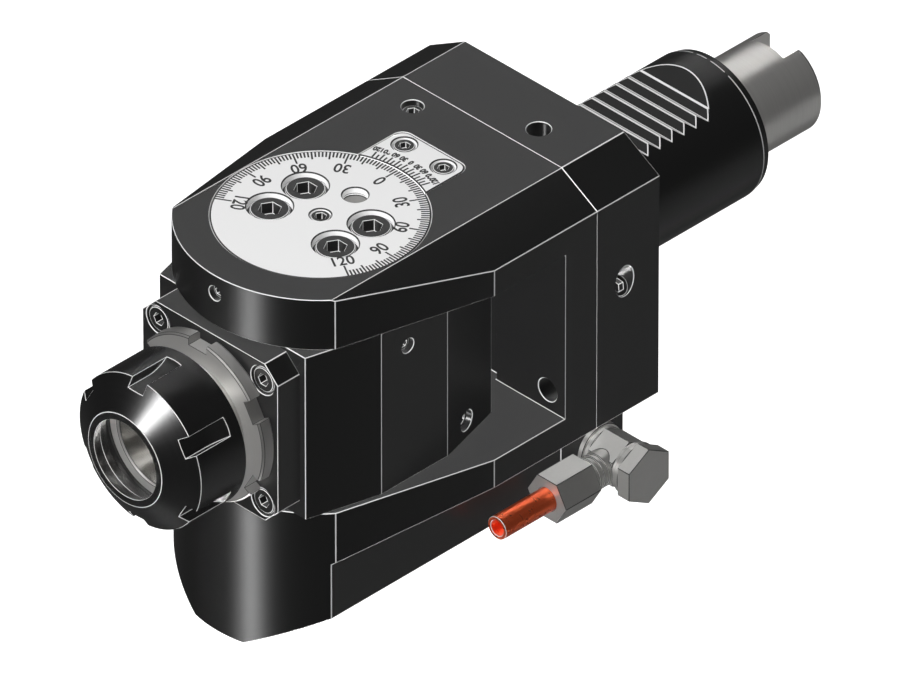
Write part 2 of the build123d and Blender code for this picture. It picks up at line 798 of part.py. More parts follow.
lower_shaft_front = bevel_small
with BuildPart() as lower_shaft:
    with BuildSketch(lower_line):
        Polygon(
            (0, lower_shaft_front), (journal_r, lower_shaft_front), (journal_r, lower_front_start),
            (small_bearing[0] - fit_gap, lower_front_start), (small_bearing[0] - fit_gap, lower_front_end),
            (small_bearing[0] + shaft_step, lower_front_end),
            (small_bearing[0] + shaft_step, spur_front_behind),
            (small_bearing[0], spur_front_behind), (small_bearing[0], lower_rear_start),
            (small_bearing[0] - fit_gap, lower_rear_start),
            (small_bearing[0] - fit_gap, lower_rear_start + small_bearing[2] - running_gap),
            (0, lower_rear_start + small_bearing[2] - running_gap))
    revolve(axis=line_axis(lower_line))
write(lower_shaft.part, "lower_shaft")

write(spur_gear(lower_line, small_bearing[0], math.pi / spur_teeth), "lower_gear")
write(bevel_gear(lower_line, 0, 1, lower_front_start - running_gap, 0), "lower_bevel_gear")

lower_bearings = [ball_bearing(small_bearing, lower_line, lower_front_start),
                  ball_bearing(small_bearing, lower_line, lower_rear_start)]


# Pivot shaft with its two bevel gears, and the threaded plug below it

pivot_lower_start = lower_z - bevel_hub_end - pivot_bearing[2] - running_gap
pivot_upper_start = -bevel_hub_end - pivot_bearing[2] - running_gap
plug_top = pivot_lower_start + pivot_bearing[2]

with BuildPart() as pivot_shaft:
    with BuildSketch(pivot_line):
        ring_section(0, journal_r, pivot_lower_start, -bevel_small)
    revolve(axis=line_axis(pivot_line))
write(pivot_shaft.part, "pivot_shaft")

write(bevel_gear(pivot_line, lower_z, -1, bevel_hub_end, math.pi / bevel_teeth), "pivot_lower_gear")
write(bevel_gear(pivot_line, 0, -1, bevel_hub_end, 0), "pivot_upper_gear")

with BuildPart() as bottom_plug:
    with BuildSketch(pivot_line):
        ring_section(0, plug_r - fit_gap, plug_bottom, plug_top)
    revolve(axis=line_axis(pivot_line))
    with BuildSketch(pivot_line):
        ring_section(0, pivot_bearing[1], pivot_lower_start, plug_top)
        ring_section(0, pivot_bearing[1] - bearing_ledge, pivot_lower_start - running_gap, pivot_lower_start)
    revolve(axis=line_axis(pivot_line), mode=Mode.SUBTRACT)
    with BuildSketch(level(plug_bottom)):
        with Locations((plug_pin_place, 0), (-plug_pin_place, 0)):
            Circle(plug_pin_hole_r)
    extrude(amount=plug_pin_hole_depth, mode=Mode.SUBTRACT)
write(bottom_plug.part, "bottom_plug")

pivot_bearings = [ball_bearing(pivot_bearing, pivot_line, pivot_lower_start),
                  ball_bearing(pivot_bearing, pivot_line, pivot_upper_start)]


# Swivel head

taper_slope = math.tan(math.radians(head_taper))
head_front_half = head_half_width - (head_front_corner - head_front) * taper_slope
head_rear_half = head_half_width - (head_rear - head_rear_corner) * taper_slope
head_side = [(head_front_half, head_front), (head_half_width, head_front_corner),
             (head_half_width, head_rear_corner), (head_rear_half, head_rear)]
front_bearing_start = cap_front + cap_wall
front_bearing_back = front_bearing_start + 2 * spindle_front_bearing[2]
rear_bearing_start = head_cavity_r
rear_bearing_end = rear_bearing_start + spindle_rear_bearing[2]
clamp_seat = block_half_height - m6[2] - clamp_screw_recess
slant_plane = Plane(
    origin=(head_half_width - (head_slant_hole_behind - head_rear_corner) * taper_slope,
            head_slant_hole_behind - flange_behind, head_slant_hole_z),
    x_dir=(0, 0, 1), z_dir=(1, taper_slope, 0))
head_side_plane = from_right(head_half_width, head_side_hole_behind, head_side_hole_z)
cover_screw_places = corners(rear_cover_screw_r * math.sqrt(0.5), rear_cover_screw_r * math.sqrt(0.5))
cover_floor = head_rear - rear_cover_width
rear_face = Plane(origin=(0, head_rear - flange_behind, 0), x_dir=(1, 0, 0), z_dir=(0, 1, 0))

with BuildPart() as head_housing:
    with BuildSketch(level(head_bottom)):
        Polygon(*head_side, *[(-x, y) for x, y in reversed(head_side)])
    extrude(amount=head_top - head_bottom)
    with BuildSketch(pivot_line):
        ring_section(0, head_spigot_r, head_bottom - head_gap - head_spigot_height, head_bottom)
    revolve(axis=line_axis(pivot_line))
    # Spindle bore, gear cavity, rear bearing seat and recess of the rear cover
    with BuildSketch(spindle_line):
        ring_section(0, spindle_front_bearing[1], head_front, front_bearing_back)
        ring_section(0, head_cavity_r, front_bearing_back, rear_bearing_start)
        ring_section(0, spindle_rear_bearing[1], rear_bearing_start, rear_bearing_end)
        ring_section(0, spindle_rear_bearing[1] - bearing_ledge, rear_bearing_end, cover_floor)
        ring_section(0, rear_cover_r + thread_gap, cover_floor, head_rear)
    revolve(axis=line_axis(spindle_line), mode=Mode.SUBTRACT)
    with BuildSketch(pivot_line):
        ring_section(0, bevel_cavity_r, -bevel_hub_end - running_gap, 0)
        ring_section(0, pivot_bearing[1], pivot_upper_start, -bevel_hub_end)
        ring_section(0, pivot_bearing[1] - bearing_ledge, slot_floor - head_spigot_height - head_gap,
                     pivot_upper_start)
    revolve(axis=line_axis(pivot_line), mode=Mode.SUBTRACT)
    # Screw holes
    with BuildSketch(level(head_top)):
        with Locations(*clamp_places):
            Circle(m6[0] + fit_gap)
    extrude(amount=clamp_seat - clamp_screw_length - head_top, mode=Mode.SUBTRACT)
    with BuildSketch(across(head_front)):
        with Locations(*cap_screw_places):
            Circle(m4[0] + fit_gap)
    extrude(amount=-cap_screw_length, mode=Mode.SUBTRACT)
    with BuildSketch(across(cover_floor)):
        with Locations(*cover_screw_places):
            Circle(m3_cover[0] + fit_gap)
    extrude(amount=cover_screw_length, mode=Mode.SUBTRACT)
    with Locations(head_side_plane):
        Hole(head_side_hole_r, set_screw_recess + set_screw_length)
    with Locations(slant_plane):
        Hole(head_slant_hole_r, set_screw_recess + set_screw_length)
write(head_housing.part, "head_housing")

with BuildPart() as front_cap:
    with BuildSketch(across(head_front)):
        Rectangle(2 * cap_half, 2 * cap_half)
        chamfer(vertices(), cap_corner)
    extrude(amount=head_front - cap_front)
    with BuildSketch(spindle_line):
        ring_section(0, spindle_thread_r + cap_seal_width, cap_front, head_front)
        ring_section(0, spindle_front_bearing[1], front_bearing_start, head_front)
    revolve(axis=line_axis(spindle_line), mode=Mode.SUBTRACT)
    with Locations(across(cap_front)):
        with Locations(*cap_screw_places):
            CounterBoreHole(m4[0] + thread_gap, m4[4], m4[2] + cap_screw_recess, head_front - cap_front)
write(front_cap.part, "front_cap")

with BuildPart() as front_seal:
    with BuildSketch(spindle_line):
        ring_section(spindle_thread_r + seal_gap, spindle_thread_r + cap_seal_width - fit_gap,
                     cap_front, front_bearing_start - fit_gap)
    revolve(axis=line_axis(spindle_line))
write(front_seal.part, "front_seal")

cap_seat = across(cap_front + m4[2] + cap_screw_recess)
group(placed(cap_screw(m4, cap_screw_length), cap_seat, cap_screw_places), "front_cap_screws")

with BuildPart() as rear_cover:
    with BuildSketch(spindle_line):
        ring_section(0, rear_cover_r, cover_floor, head_rear)
    revolve(axis=line_axis(spindle_line))
    with Locations(rear_face):
        with Locations(*cover_screw_places):
            CounterBoreHole(m3_cover[0] + thread_gap, m3_cover[4], m3_cover[2], rear_cover_width)
write(rear_cover.part, "rear_cover")

cover_seat = rear_face.offset(-m3_cover[2])
group(placed(cap_screw(m3_cover, cover_screw_length), cover_seat, cover_screw_places),
      "rear_cover_screws")

head_screws = [(head_side_plane, head_side_hole_r), (slant_plane, head_slant_hole_r)]
group([placed(set_screw(radius - fit_gap, set_screw_length), plane.offset(-set_screw_recess))[0]
       for plane, radius in head_screws], "head_set_screws")


# Dial, swivel flange and clamp screws

with BuildPart() as swivel_flange:
    with BuildSketch(pivot_line):
        ring_section(0, dial_r, flange_bottom + thread_gap, flange_top)
        ring_section(0, flange_hub_r, head_top, flange_top)
    revolve(axis=line_axis(pivot_line))
    with Locations(level(flange_top)):
        with Locations(*clamp_places):
            CounterBoreHole(m6[0] + thread_gap, m6[4], flange_top - clamp_seat, flange_top - head_top)
        with Locations((0, dial_hole_behind)):
            Hole(dial_hole_r, dial_hole_depth + dial_pin_length - dial_thickness)
        Hole(centre_screw_r, centre_screw_length + set_screw_recess - dial_thickness)
write(swivel_flange.part, "swivel_flange")

with BuildPart() as dial_plate:
    with BuildSketch(level(flange_top)):
        Circle(dial_r)
        with Locations(*clamp_places):
            Circle(m6[4], mode=Mode.SUBTRACT)
        with Locations((0, dial_hole_behind)):
            Circle(dial_hole_r, mode=Mode.SUBTRACT)
        Circle(centre_screw_r, mode=Mode.SUBTRACT)
    extrude(amount=dial_thickness)
write(dial_plate.part, "dial_plate")

with BuildPart() as dial_pin:
    with BuildSketch(level(block_half_height - dial_hole_depth)):
        with Locations((0, dial_hole_behind)):
            Circle(dial_hole_r - fit_gap)
    extrude(amount=-dial_pin_length)
write(dial_pin.part, "dial_pin")

group(placed(cap_screw(m6, clamp_screw_length), level(clamp_seat), clamp_places), "clamp_screws")
centre_screw = set_screw(centre_screw_r - fit_gap, centre_screw_length)
group(placed(centre_screw, level(block_half_height - dial_screw_recess)), "dial_centre_screw")


# Spindle with its gear, ring, lock nut and bearings

slot_planes = []
for index in range(nut_slots):
    slot_turn = math.radians(nut_first_slot + 360 * index / nut_slots)
    slot_planes.append(Plane(origin=spindle_line.origin, x_dir=(0, 1, 0),
                             z_dir=(math.sin(slot_turn), 0, -math.cos(slot_turn))))

taper_end_r = taper_mouth_r - taper_length * math.tan(math.radians(taper_angle))
spindle_shoulder = -bevel_hub_end - running_gap
with BuildPart() as spindle:
    with BuildSketch(spindle_line):
        Polygon(
            (0, spindle_bore_end), (spindle_bore_r, spindle_bore_end),
            (spindle_bore_r, spindle_front + taper_length), (taper_end_r, spindle_front + taper_length),
            (taper_mouth_r, spindle_front + taper_mouth_edge),
            (taper_mouth_r + taper_mouth_edge, spindle_front),
            (spindle_thread_r - spindle_nose_edge, spindle_front),
            (spindle_thread_r, spindle_front + spindle_nose_edge), (spindle_thread_r, front_bearing_start),
            (spindle_front_bearing[0], front_bearing_start),
            (spindle_front_bearing[0], spindle_shoulder),
            (journal_r, spindle_shoulder), (journal_r, spindle_tail), (0, spindle_tail))
    revolve(axis=line_axis(spindle_line))
write(spindle.part, "spindle")

with BuildPart() as spanner_ring:
    with BuildSketch(spindle_line):
        ring_section(spindle_thread_r + fit_gap, ring_r, ring_front, ring_back)
        chamfer(vertices().sort_by(Axis.X)[-2:], ring_edge)
    revolve(axis=line_axis(spindle_line))
    for slot in slot_planes:
        with BuildSketch(slot):
            ring_section(ring_front, ring_back, ring_notch_floor, 2 * ring_r)
        extrude(amount=ring_notch_width / 2, both=True, mode=Mode.SUBTRACT)
write(spanner_ring.part, "spanner_ring")

write(bevel_gear(spindle_line, 0, -1, -spindle_shoulder, math.pi / bevel_teeth), "spindle_gear")

with BuildPart() as lock_nut:
    with BuildSketch(facing_along(spindle_line, rear_bearing_end)):
        RegularPolygon(lock_nut_flats / 2, 6, major_radius=False)
        Circle(journal_r + fit_gap, mode=Mode.SUBTRACT)
    extrude(amount=lock_nut_length)
write(lock_nut.part, "lock_nut")

spindle_bearings = [ball_bearing(spindle_front_bearing, spindle_line, front_bearing_start),
                    ball_bearing(spindle_front_bearing, spindle_line,
                                 front_bearing_start + spindle_front_bearing[2]),
                    ball_bearing(spindle_rear_bearing, spindle_line, rear_bearing_start)]


# Collet nut and the closing ring inside it

closing_front = nut_front + nut_lip + nut_lock_gap
closing_back = closing_front + closing_ring_length
with BuildPart() as collet_nut:
    with BuildSketch(spindle_line):
        Polygon(
            (spindle_thread_r + thread_gap, nut_back), (nut_r - nut_edge, nut_back),
            (nut_r, nut_back + nut_edge), (nut_r, nut_cone_start), (nut_face_r, nut_front),
            (nut_hole_r, nut_front), (nut_lip_r, nut_front + nut_lip),
            (closing_ring_r + closing_ring_gap, nut_front + nut_lip),
            (closing_ring_r + closing_ring_gap, closing_back),
            (spindle_thread_r + thread_gap, closing_back))
    revolve(axis=line_axis(spindle_line))
    for slot in slot_planes:
        with BuildSketch(slot):
            ring_section(nut_front - nut_lip, nut_slot_flat_start, nut_slot_floor, 2 * nut_r)
            with Locations((nut_slot_flat_start, nut_slot_floor + nut_slot_cutter_r)):
                Circle(nut_slot_cutter_r)
        extrude(amount=nut_slot_width / 2, both=True, mode=Mode.SUBTRACT)
write(collet_nut.part, "collet_nut")

with BuildPart() as closing_ring:
    with BuildSketch(spindle_line):
        Polygon(
            (closing_ring_hole_r, closing_front), (closing_ring_r, closing_front),
            (closing_ring_r, closing_back), (closing_ring_mouth_r, closing_back))
    revolve(axis=line_axis(spindle_line))
write(closing_ring.part, "closing_ring")


# Bearings, one node for each kind of piece on each body

group([bearing[0] for bearing in drive_bearings], "drive_bearing_outers")
group([bearing[1] for bearing in drive_bearings], "drive_bearing_inners")
group([piece for bearing in drive_bearings for piece in bearing[2:]], "drive_bearing_balls")
group([bearing[0] for bearing in lower_bearings], "lower_bearing_outers")
group([bearing[1] for bearing in lower_bearings], "lower_bearing_inners")
group([piece for bearing in lower_bearings for piece in bearing[2:]], "lower_bearing_balls")
group([pivot_bearings[0][0]], "pivot_lower_bearing_outer")
group([pivot_bearings[1][0]], "pivot_upper_bearing_outer")
group([bearing[1] for bearing in pivot_bearings], "pivot_bearing_inners")
group([piece for bearing in pivot_bearings for piece in bearing[2:]], "pivot_bearing_balls")
group([bearing[0] for bearing in spindle_bearings], "spindle_bearing_outers")
group([bearing[1] for bearing in spindle_bearings], "spindle_bearing_inners")
group([piece for bearing in spindle_bearings for piece in bearing[2:]], "spindle_bearing_balls")


# Coolant fitting on the right of the gear box

inner_washer_end = block_flat_half + washer_thickness
hex_start = inner_washer_end + banjo_collar_length
hex_end = hex_start + banjo_hex_length
outer_washer_start = hex_end + banjo_collar_length
bolt_head_start = outer_washer_start + washer_thickness
banjo_hole_r = bolt_thread_r + thread_gap
stub_root = fitting_behind - banjo_flats / 2
stub_end = stub_root - stub_length
nut_thread_end = stub_end - fit_gap
ferrule_front = stub_end - running_gap - ferrule_length
nut_front_face = fitting_nut_back - fitting_nut_length
tube_x = (hex_start + hex_end) / 2
tube_line = Plane(origin=(tube_x, -flange_behind, fitting_z), x_dir=(1, 0, 0), z_dir=(0, 0, 1))

with BuildPart() as banjo_bolt:
    with BuildSketch(facing_along(fitting_line, bolt_head_start)):
        RegularPolygon(bolt_flats / 2, 6, major_radius=False)
    extrude(amount=bolt_head_height)
    with BuildSketch(fitting_line):
        ring_section(0, bolt_thread_r, block_flat_half - bolt_thread_length, bolt_head_start)
    revolve(axis=line_axis(fitting_line))
    with BuildSketch(fitting_line):
        ring_section(0, bolt_channel_r, block_flat_half - bolt_thread_length, tube_x + bolt_channel_r)
    revolve(axis=line_axis(fitting_line), mode=Mode.SUBTRACT)
    with BuildSketch(Plane(origin=(tube_x, fitting_behind - flange_behind, fitting_z),
                           x_dir=(1, 0, 0), z_dir=(0, -1, 0))):
        Circle(bolt_channel_r - head_rim)
    extrude(amount=bolt_thread_r, both=True, mode=Mode.SUBTRACT)
write(banjo_bolt.part, "banjo_bolt")

with BuildPart() as banjo_body:
    with BuildSketch(facing_along(fitting_line, hex_start)):
        RegularPolygon(banjo_flats / 2, 6, major_radius=False)
    extrude(amount=banjo_hex_length)
    with BuildSketch(fitting_line):
        ring_section(0, banjo_collar_r, inner_washer_end, hex_start)
        ring_section(0, banjo_collar_r, hex_end, outer_washer_start)
    revolve(axis=line_axis(fitting_line))
    with BuildSketch(tube_line):
        ring_section(0, stub_r, stub_end, fitting_behind)
        for index in range(int((stub_root - fitting_nut_back) / stub_thread_pitch)):
            groove = stub_root - (index + 1) * stub_thread_pitch
            with Locations((stub_r, groove)):
                Rectangle(2 * stub_thread_depth, stub_thread_pitch / 2, mode=Mode.SUBTRACT)
    revolve(axis=line_axis(tube_line))
    with BuildSketch(tube_line):
        ring_section(0, tube_bore_r, tube_back_behind, fitting_behind)
        ring_section(0, tube_r + seal_gap, stub_end, tube_back_behind)
    revolve(axis=line_axis(tube_line), mode=Mode.SUBTRACT)
    with BuildSketch(fitting_line):
        ring_section(0, banjo_hole_r, inner_washer_end, outer_washer_start)
        ring_section(0, banjo_channel_r, tube_x - banjo_channel_width / 2, tube_x + banjo_channel_width / 2)
    revolve(axis=line_axis(fitting_line), mode=Mode.SUBTRACT)
write(banjo_body.part, "banjo_body")

with BuildPart() as sealing_washers:
    with BuildSketch(fitting_line):
        ring_section(banjo_hole_r, washer_r, block_flat_half, inner_washer_end)
        ring_section(banjo_hole_r, washer_r, outer_washer_start, bolt_head_start)
    revolve(axis=line_axis(fitting_line))
write(sealing_washers.part, "sealing_washers")

with BuildPart() as compression_nut:
    with BuildSketch(Plane(origin=(tube_x, fitting_nut_back - flange_behind, fitting_z),
                           x_dir=(1, 0, 0), z_dir=(0, -1, 0))):
        RegularPolygon(fitting_nut_flats / 2, 6, major_radius=False)
    extrude(amount=fitting_nut_length)
    with BuildSketch(tube_line):
        ring_section(0, stub_r + fit_gap, nut_thread_end, fitting_nut_back)
        ring_section(0, ferrule_cavity_r, nut_front_face + nut_tube_hole_length, nut_thread_end)
        ring_section(0, tube_r + seal_gap, nut_front_face, nut_front_face + nut_tube_hole_length)
    revolve(axis=line_axis(tube_line), mode=Mode.SUBTRACT)
write(compression_nut.part, "compression_nut")

with BuildPart() as ferrule:
    with BuildSketch(tube_line):
        ring_section(tube_r + fit_gap, ferrule_r, ferrule_front, ferrule_front + ferrule_length)
    revolve(axis=line_axis(tube_line))
write(ferrule.part, "ferrule")

with BuildPart() as copper_tube:
    with BuildSketch(tube_line):
        ring_section(tube_bore_r, tube_r, tube_front_behind, tube_back_behind - fit_gap)
    revolve(axis=line_axis(tube_line))
write(copper_tube.part, "copper_tube")
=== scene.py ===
"""Finishes a swivelling live tool holder: worn black steel, ground steel, a dial and a copper pipe."""
import json
import math
import bpy
from mathutils import Matrix, Vector


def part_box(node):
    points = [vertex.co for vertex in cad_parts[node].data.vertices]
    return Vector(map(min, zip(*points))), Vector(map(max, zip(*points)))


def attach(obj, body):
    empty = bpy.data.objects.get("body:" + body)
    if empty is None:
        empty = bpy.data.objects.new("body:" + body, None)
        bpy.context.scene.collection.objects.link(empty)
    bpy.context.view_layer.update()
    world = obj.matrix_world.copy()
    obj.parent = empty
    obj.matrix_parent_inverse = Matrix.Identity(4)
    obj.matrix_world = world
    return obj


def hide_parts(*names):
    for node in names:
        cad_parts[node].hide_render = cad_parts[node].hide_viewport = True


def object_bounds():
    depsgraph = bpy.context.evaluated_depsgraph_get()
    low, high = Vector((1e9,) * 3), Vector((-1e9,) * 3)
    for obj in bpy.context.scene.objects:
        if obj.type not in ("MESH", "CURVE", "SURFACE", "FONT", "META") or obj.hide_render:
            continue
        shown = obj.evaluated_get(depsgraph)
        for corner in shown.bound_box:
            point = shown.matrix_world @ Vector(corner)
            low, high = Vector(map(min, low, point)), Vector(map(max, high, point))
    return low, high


bl_info = {
    "name": "Swivel Tool Holder Finish",
    "version": (1, 0, 0),
    "blender": (4, 5, 0),
    "location": "View3D > Sidebar > Tool Holder",
    "description": "Adds edges, graduations, finishes and a studio to a swivelling live tool holder",
    "category": "Object",
}

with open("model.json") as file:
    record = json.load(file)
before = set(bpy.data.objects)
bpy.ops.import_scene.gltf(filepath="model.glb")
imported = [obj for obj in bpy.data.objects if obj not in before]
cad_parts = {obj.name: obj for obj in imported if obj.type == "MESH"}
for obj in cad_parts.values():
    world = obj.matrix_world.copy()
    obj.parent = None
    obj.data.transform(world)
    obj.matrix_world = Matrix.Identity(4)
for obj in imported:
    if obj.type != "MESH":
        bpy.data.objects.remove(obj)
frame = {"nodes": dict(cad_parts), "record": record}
cad_box = [list(corner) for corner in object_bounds()]

MILLIMETRE = 0.001
MERGE_DISTANCE = 0.001 * MILLIMETRE
FLAT_ANGLE = math.radians(0.3)

# Places on the CAD parts that tell their faces apart
SHANK_START = 1.5 * MILLIMETRE
RACK_CREST = 16.24 * MILLIMETRE
CREST_TOLERANCE = 0.01 * MILLIMETRE
CREST_WIDTH = MILLIMETRE
# Radius of the taper's mouth; the spindle's faces inside it get painted shade
TAPER_MOUTH = 12.9 * MILLIMETRE

# The steel grain's larger clouds: their scale and their share of the pattern
CLOUD_SCALE = 0.05
CLOUD_SHARE = 0.35

# The dial's graduation in degrees, and the vernier's steps of lines and numbers
DIAL_END = 120
DIAL_STEP = 2
DIAL_MIDDLE_STEP = 10
DIAL_NUMBER_STEP = 30
VERNIER_LINES_EACH_WAY = 8
VERNIER_STEP = math.radians(2.25)
VERNIER_NUMBER_STEP = 15
VERNIER_NUMBER_GAP = 0.8
VERNIER_BOLDNESS = 3.5
NUMERAL_SHARE_OF_FONT = 0.7
NUMBER_NARROWNESS = 0.82

# The camera's sensor, and the picture's middle from the dial's centre
SENSOR_WIDTH = 36.0
FRAME_RIGHT = 31.38 * MILLIMETRE
FRAME_DOWN = 29.77 * MILLIMETRE

# Each light's name, direction from the holder, size and power setting
LIGHT_DISTANCE = 1.2
LIGHTS = (
    ("rear_softbox", (-0.47, 0.577, 0.665), 1.05, "rear_power"),
    ("left_softbox", (-0.62, -0.2, 0.76), 0.6, "left_power"),
    ("low_left_softbox", (-0.577, -0.577, -0.577), 0.4, "low_left_power"),
    ("low_right_softbox", (0.577, 0.577, -0.577), 0.9, "low_right_power"),
    ("bottom_light", (0, 0, -1), 0.6, "bottom_power"),
    ("low_front_light", (-0.15, -0.81, -0.567), 0.2, "low_power"),
    ("front_light", (-0.162, -0.948, 0.278), 0.2, "front_power"),
    ("right_light", (0.5, -0.35, 0.8), 0.4, "right_power"))

# The sky: one even layer under each glow, and the glows' directions
SKY_LAYER = 0.05
SKY_GLOW = 0.05
SKY_GLOW_DIRECTIONS = ((0, 0, 1), (0.577, 0.577, -0.577))

dial_low, dial_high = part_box("dial_plate")
DIAL_CENTRE = Vector(((dial_low.x + dial_high.x) / 2, (dial_low.y + dial_high.y) / 2, dial_high.z))
DIAL_RADIUS = (dial_high.x - dial_low.x) / 2

# Each dressed node, with the body it rides on
BLACK_NODES = {
    "rear_block": "housing", "fork_housing": "housing", "head_housing": "swivel_head",
    "front_cap": "swivel_head", "swivel_flange": "swivel_head"}
TURNED_BLACK_NODES = {
    "bottom_plug": "housing", "rear_cover": "swivel_head", "collet_nut": "collet_nut",
    "closing_ring": "closing_ring"}
SCREW_NODES = {
    "block_screws": "housing", "fork_set_screws": "housing", "side_plug_screw": "housing",
    "vernier_screws": "housing", "front_cap_screws": "swivel_head", "rear_cover_screws": "swivel_head",
    "head_set_screws": "swivel_head", "clamp_screws": "swivel_head", "dial_centre_screw": "swivel_head"}
GROUND_NODES = {"drive_shaft": "drive", "spindle": "spindle", "spanner_ring": "spindle",
                "dial_pin": "swivel_head"}
OWN_GROUND_FINISHES = {"spanner_ring": "Ground Ring Steel", "dial_pin": "Dull Pin Steel"}
FITTING_NODES = {
    "banjo_bolt": "housing", "sealing_washers": "housing", "banjo_body": "coolant_pipe",
    "compression_nut": "coolant_pipe"}
PLAIN_FINISHES = {"gear_steel": "Machined Gear Steel", "bearing_steel": "Polished Bearing Steel",
                  "seal_rubber": "Black Seal Rubber"}


class HolderSizes(bpy.types.PropertyGroup):
    """Sizes of what is added to the metal parts"""
    edge_width: bpy.props.FloatProperty(
        name="Edge Width", description="Width of the worn edges of the black housings",
        default=0.17 * MILLIMETRE, min=0.01 * MILLIMETRE, max=MILLIMETRE, precision=5, unit="LENGTH")
    fine_edge_width: bpy.props.FloatProperty(
        name="Fine Edge Width", description="Width of the broken edges of screws and fittings",
        default=0.1 * MILLIMETRE, min=0.01 * MILLIMETRE, max=MILLIMETRE, precision=5, unit="LENGTH")
    edge_angle: bpy.props.FloatProperty(
        name="Edge Angle", description="Faces that meet at more than this angle have an edge between them",
        default=math.radians(12), subtype="ANGLE")
    # The plates' dark edges are painted shade
    plate_edge_width: bpy.props.FloatProperty(
        name="Plate Edge Width", description="Width of the dark edges of the white plates",
        default=0.3 * MILLIMETRE, precision=5, unit="LENGTH")
    mark_depth: bpy.props.FloatProperty(
        name="Mark Depth", description="How far the filled graduations stand out of the white faces",
        default=0.03 * MILLIMETRE, precision=5, unit="LENGTH")
    line_width: bpy.props.FloatProperty(
        name="Line Width", description="Width of the dial's graduation lines",
        default=0.46 * MILLIMETRE, precision=5, unit="LENGTH")
    short_line: bpy.props.FloatProperty(
        name="Short Line", description="Length of the dial's lines at every second degree",
        default=2.1 * MILLIMETRE, precision=5, unit="LENGTH")
    middle_line: bpy.props.FloatProperty(
        name="Middle Line", description="Length of the dial's lines at every tenth degree",
        default=3.0 * MILLIMETRE, precision=5, unit="LENGTH")
    long_line: bpy.props.FloatProperty(
        name="Long Line", description="Length of the dial's numbered lines",
        default=4.2 * MILLIMETRE, precision=5, unit="LENGTH")
    number_height: bpy.props.FloatProperty(
        name="Number Height", description="Height of the dial's numbers",
        default=3.6 * MILLIMETRE, precision=5, unit="LENGTH")
    number_boldness: bpy.props.FloatProperty(
        name="Number Boldness", description="Widening of the numbers' strokes, as a share of their height",
        default=0.024, subtype="FACTOR")
    number_radius: bpy.props.FloatProperty(
        name="Number Radius", description="Distance of the dial's numbers from its centre",
        default=20.4 * MILLIMETRE, precision=5, unit="LENGTH")
    vernier_long_line: bpy.props.FloatProperty(
        name="Vernier Long Line", description="Length of the vernier's numbered lines",
        default=2.4 * MILLIMETRE, precision=5, unit="LENGTH")
    vernier_short_line: bpy.props.FloatProperty(
        name="Vernier Short Line", description="Length of the vernier's other lines",
        default=1.6 * MILLIMETRE, precision=5, unit="LENGTH")
    vernier_number_height: bpy.props.FloatProperty(
        name="Vernier Number Height", description="Height of the vernier's numbers",
        default=1.6 * MILLIMETRE, precision=5, unit="LENGTH")


class HolderColours(bpy.types.PropertyGroup):
    """Colours of the finishes"""
    black: bpy.props.FloatVectorProperty(
        name="Black Oxide", description="Colour of the blackened housings", subtype="COLOR", size=3,
        default=(0.004, 0.004, 0.004), min=0, max=1)
    edge: bpy.props.FloatVectorProperty(
        name="Worn Edge", description="Colour where the black is worn off", subtype="COLOR", size=3,
        default=(0.7, 0.7, 0.7), min=0, max=1)
    ground: bpy.props.FloatVectorProperty(
        name="Ground Steel", description="Colour of the ground steel", subtype="COLOR", size=3,
        default=(0.68, 0.67, 0.65), min=0, max=1)
    fitting: bpy.props.FloatVectorProperty(
        name="Fitting Steel", description="Colour of the plated pipe fitting", subtype="COLOR", size=3,
        default=(0.5, 0.495, 0.48), min=0, max=1)
    copper: bpy.props.FloatVectorProperty(
        name="Copper", description="Colour of the coolant pipe", subtype="COLOR", size=3,
        default=(0.8, 0.13, 0.045), min=0, max=1)
    white: bpy.props.FloatVectorProperty(
        name="Dial White", description="Colour of the dial and the vernier plate", subtype="COLOR", size=3,
        default=(0.8, 0.8, 0.8), min=0, max=1)
    # Also the colour of the painted shade on the edges of ground steel, fittings and white plates, and of
    # the seal rubber
    marks: bpy.props.FloatVectorProperty(
        name="Mark Filling", description="Colour of the graduations", subtype="COLOR", size=3,
        default=(0.02, 0.02, 0.02), min=0, max=1)


class HolderStage(bpy.types.PropertyGroup):
    """Camera, light and floor"""
    frame_width: bpy.props.FloatProperty(
        name="Frame Width", description="Width of the picture at the holder",
        default=0.21796, unit="LENGTH")
    lens: bpy.props.FloatProperty(
        name="Lens", description="Focal length in millimetres, long for an almost parallel view",
        default=1250.0)
    floor_size: bpy.props.FloatProperty(
        name="Floor Size", description="Side of the floor", default=6.0, unit="LENGTH")
    floor_tone: bpy.props.FloatProperty(
        name="Floor Tone", description="Grey of the floor, from black to white", default=0.6, min=0, max=1)
    floor_glow: bpy.props.FloatProperty(
        name="Floor Glow", description="Own brightness of the floor, for a white ground", default=0.85)
    rear_power: bpy.props.FloatProperty(
        name="Rear Light", description="Power of the softbox high behind on the left",
        default=2.9, unit="POWER")
    left_power: bpy.props.FloatProperty(
        name="Left Light", description="Power of the softbox high on the left", default=1.1, unit="POWER")
    low_left_power: bpy.props.FloatProperty(
        name="Low Left Light", description="Power of the softbox low in front on the left",
        default=0.08, unit="POWER")
    low_right_power: bpy.props.FloatProperty(
        name="Low Right Light", description="Power of the softbox low behind on the right",
        default=0.45, unit="POWER")
    bottom_power: bpy.props.FloatProperty(
        name="Bottom Light", description="Power of the light under the holder, for its lower edges",
        default=9.0, unit="POWER")
    low_power: bpy.props.FloatProperty(
        name="Low Light", description="Power of the light low in front", default=2.5, unit="POWER")
    front_power: bpy.props.FloatProperty(
        name="Front Light", description="Power of the light in front of the nut", default=11.0, unit="POWER")
    right_power: bpy.props.FloatProperty(
        name="Right Light", description="Power of the light high in front on the right",
        default=9.5, unit="POWER")


# Selecting and building

def deselect_all():
    """Leave nothing selected."""
    bpy.ops.object.select_all(action="DESELECT")


def activate(piece):
    """Select one piece alone and make it the active one."""
    deselect_all()
    piece.select_set(True)
    bpy.context.view_layer.objects.active = piece


